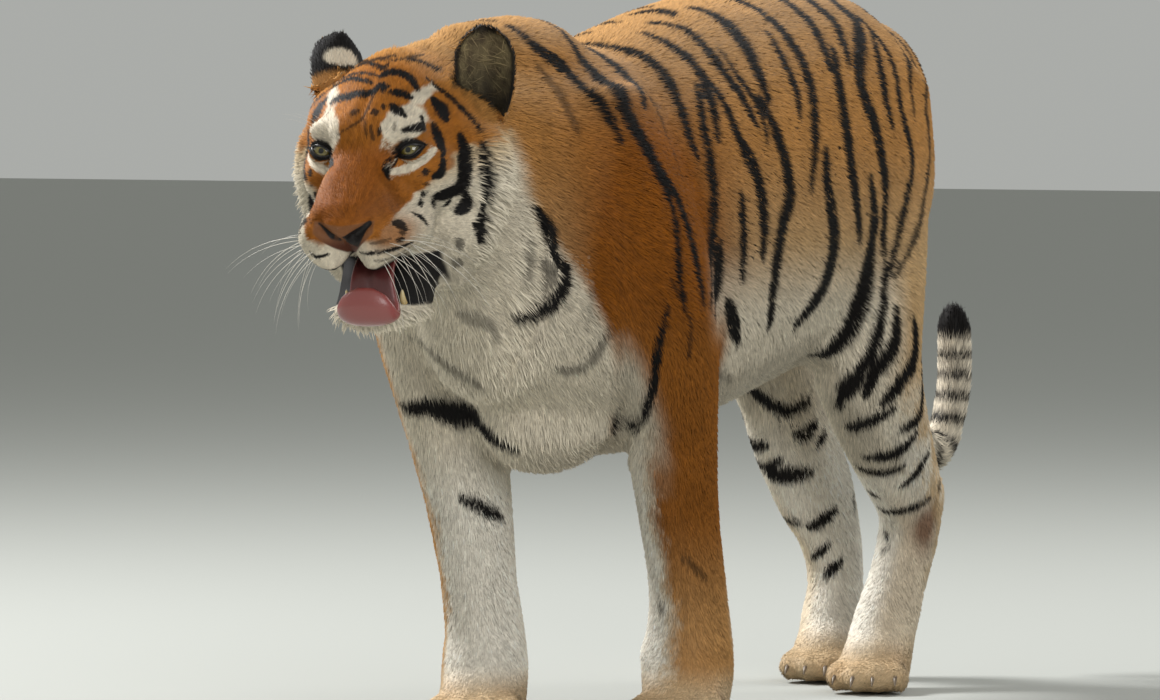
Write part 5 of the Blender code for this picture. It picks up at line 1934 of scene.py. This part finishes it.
class TIGER_OT_stage(bpy.types.Operator):
    """Make the pale floor, the soft lights and the camera"""
    bl_idname = "tiger.stage"
    bl_label = "Stage"

    def execute(self, context):
        scene = context.scene
        scene.view_settings.view_transform = "Standard"
        mesh = bpy.data.meshes.new("floor")
        corners = [(i * FLOOR_HALF, j * FLOOR_HALF, 0)
                   for i, j in ((-1, -1), (1, -1), (1, 1), (-1, 1))]
        mesh.from_pydata(corners, [], [(0, 1, 2, 3)])
        floor = link(mesh, "floor")
        made, _, shader = new_material("pale matt floor")
        fix(shader, Base_Color=(*scene.tiger_colours.floor, 1), Roughness=0.9)
        mesh.materials.append(made)
        world = bpy.data.worlds.new("studio")
        scene.world = world
        world.use_nodes = True
        fill = world.node_tree.nodes["Background"]
        fill.inputs["Color"].default_value = (0.90, 0.92, 0.88, 1)
        fill.inputs["Strength"].default_value = 0.45
        for name, spot, power, width in LIGHTS:
            lamp = bpy.data.lights.new(name, "AREA")
            lamp.energy = power
            lamp.size = width
            light = bpy.data.objects.new(name, lamp)
            light.location = spot
            aim = Vector(LIGHTS_AIM) - light.location
            light.rotation_euler = aim.to_track_quat("-Z", "Y").to_euler()
            scene.collection.objects.link(light)
        across = Vector((math.cos(CAMERA_TURN), math.sin(CAMERA_TURN), 0))
        back = Vector((math.sin(CAMERA_TURN), -math.cos(CAMERA_TURN), 0))
        lens = bpy.data.cameras.new("camera")
        lens.sensor_width = SENSOR_MM
        lens.lens = LENS_MM
        lens.clip_end = 200
        camera = bpy.data.objects.new("camera", lens)
        camera.location = (back * CAMERA_DISTANCE + across * CAMERA_ASIDE
                           + Vector((0, 0, CAMERA_HEIGHT)) + Vector(BUILD_SHIFT))
        camera.rotation_euler = (math.pi / 2 - math.atan(CAMERA_DROP), 0, CAMERA_TURN)
        scene.collection.objects.link(camera)
        scene.camera = camera
        return {"FINISHED"}


class TIGER_PT_panel(bpy.types.Panel):
    """The tiger's sizes and steps"""
    bl_idname = "TIGER_PT_panel"
    bl_label = "Bengal tiger"
    bl_space_type = "VIEW_3D"
    bl_region_type = "UI"
    bl_category = "Tiger"

    def draw(self, context):
        for group, kind in ((context.scene.tiger_sizes, TigerSizes),
                            (context.scene.tiger_colours, TigerColours)):
            for name in kind.__annotations__:
                self.layout.prop(group, name)
        for step_class in STEPS:
            self.layout.operator(step_class.bl_idname)


STEPS = (TIGER_OT_stage, TIGER_OT_skin, TIGER_OT_coat, TIGER_OT_locks, TIGER_OT_eyes,
         TIGER_OT_mouth, TIGER_OT_whiskers, TIGER_OT_claws)
CLASSES = (TigerSizes, TigerColours, *STEPS, TIGER_PT_panel)


def register():
    for item in CLASSES:
        bpy.utils.register_class(item)
    bpy.types.Scene.tiger_sizes = PointerProperty(type=TigerSizes)
    bpy.types.Scene.tiger_colours = PointerProperty(type=TigerColours)


def unregister():
    del bpy.types.Scene.tiger_colours
    del bpy.types.Scene.tiger_sizes
    for item in reversed(CLASSES):
        bpy.utils.unregister_class(item)


def main():
    register()
    for step_class in STEPS:
        group, name = step_class.bl_idname.split(".")
        getattr(getattr(bpy.ops, group), name)()


if __name__ == "__main__":
    main()
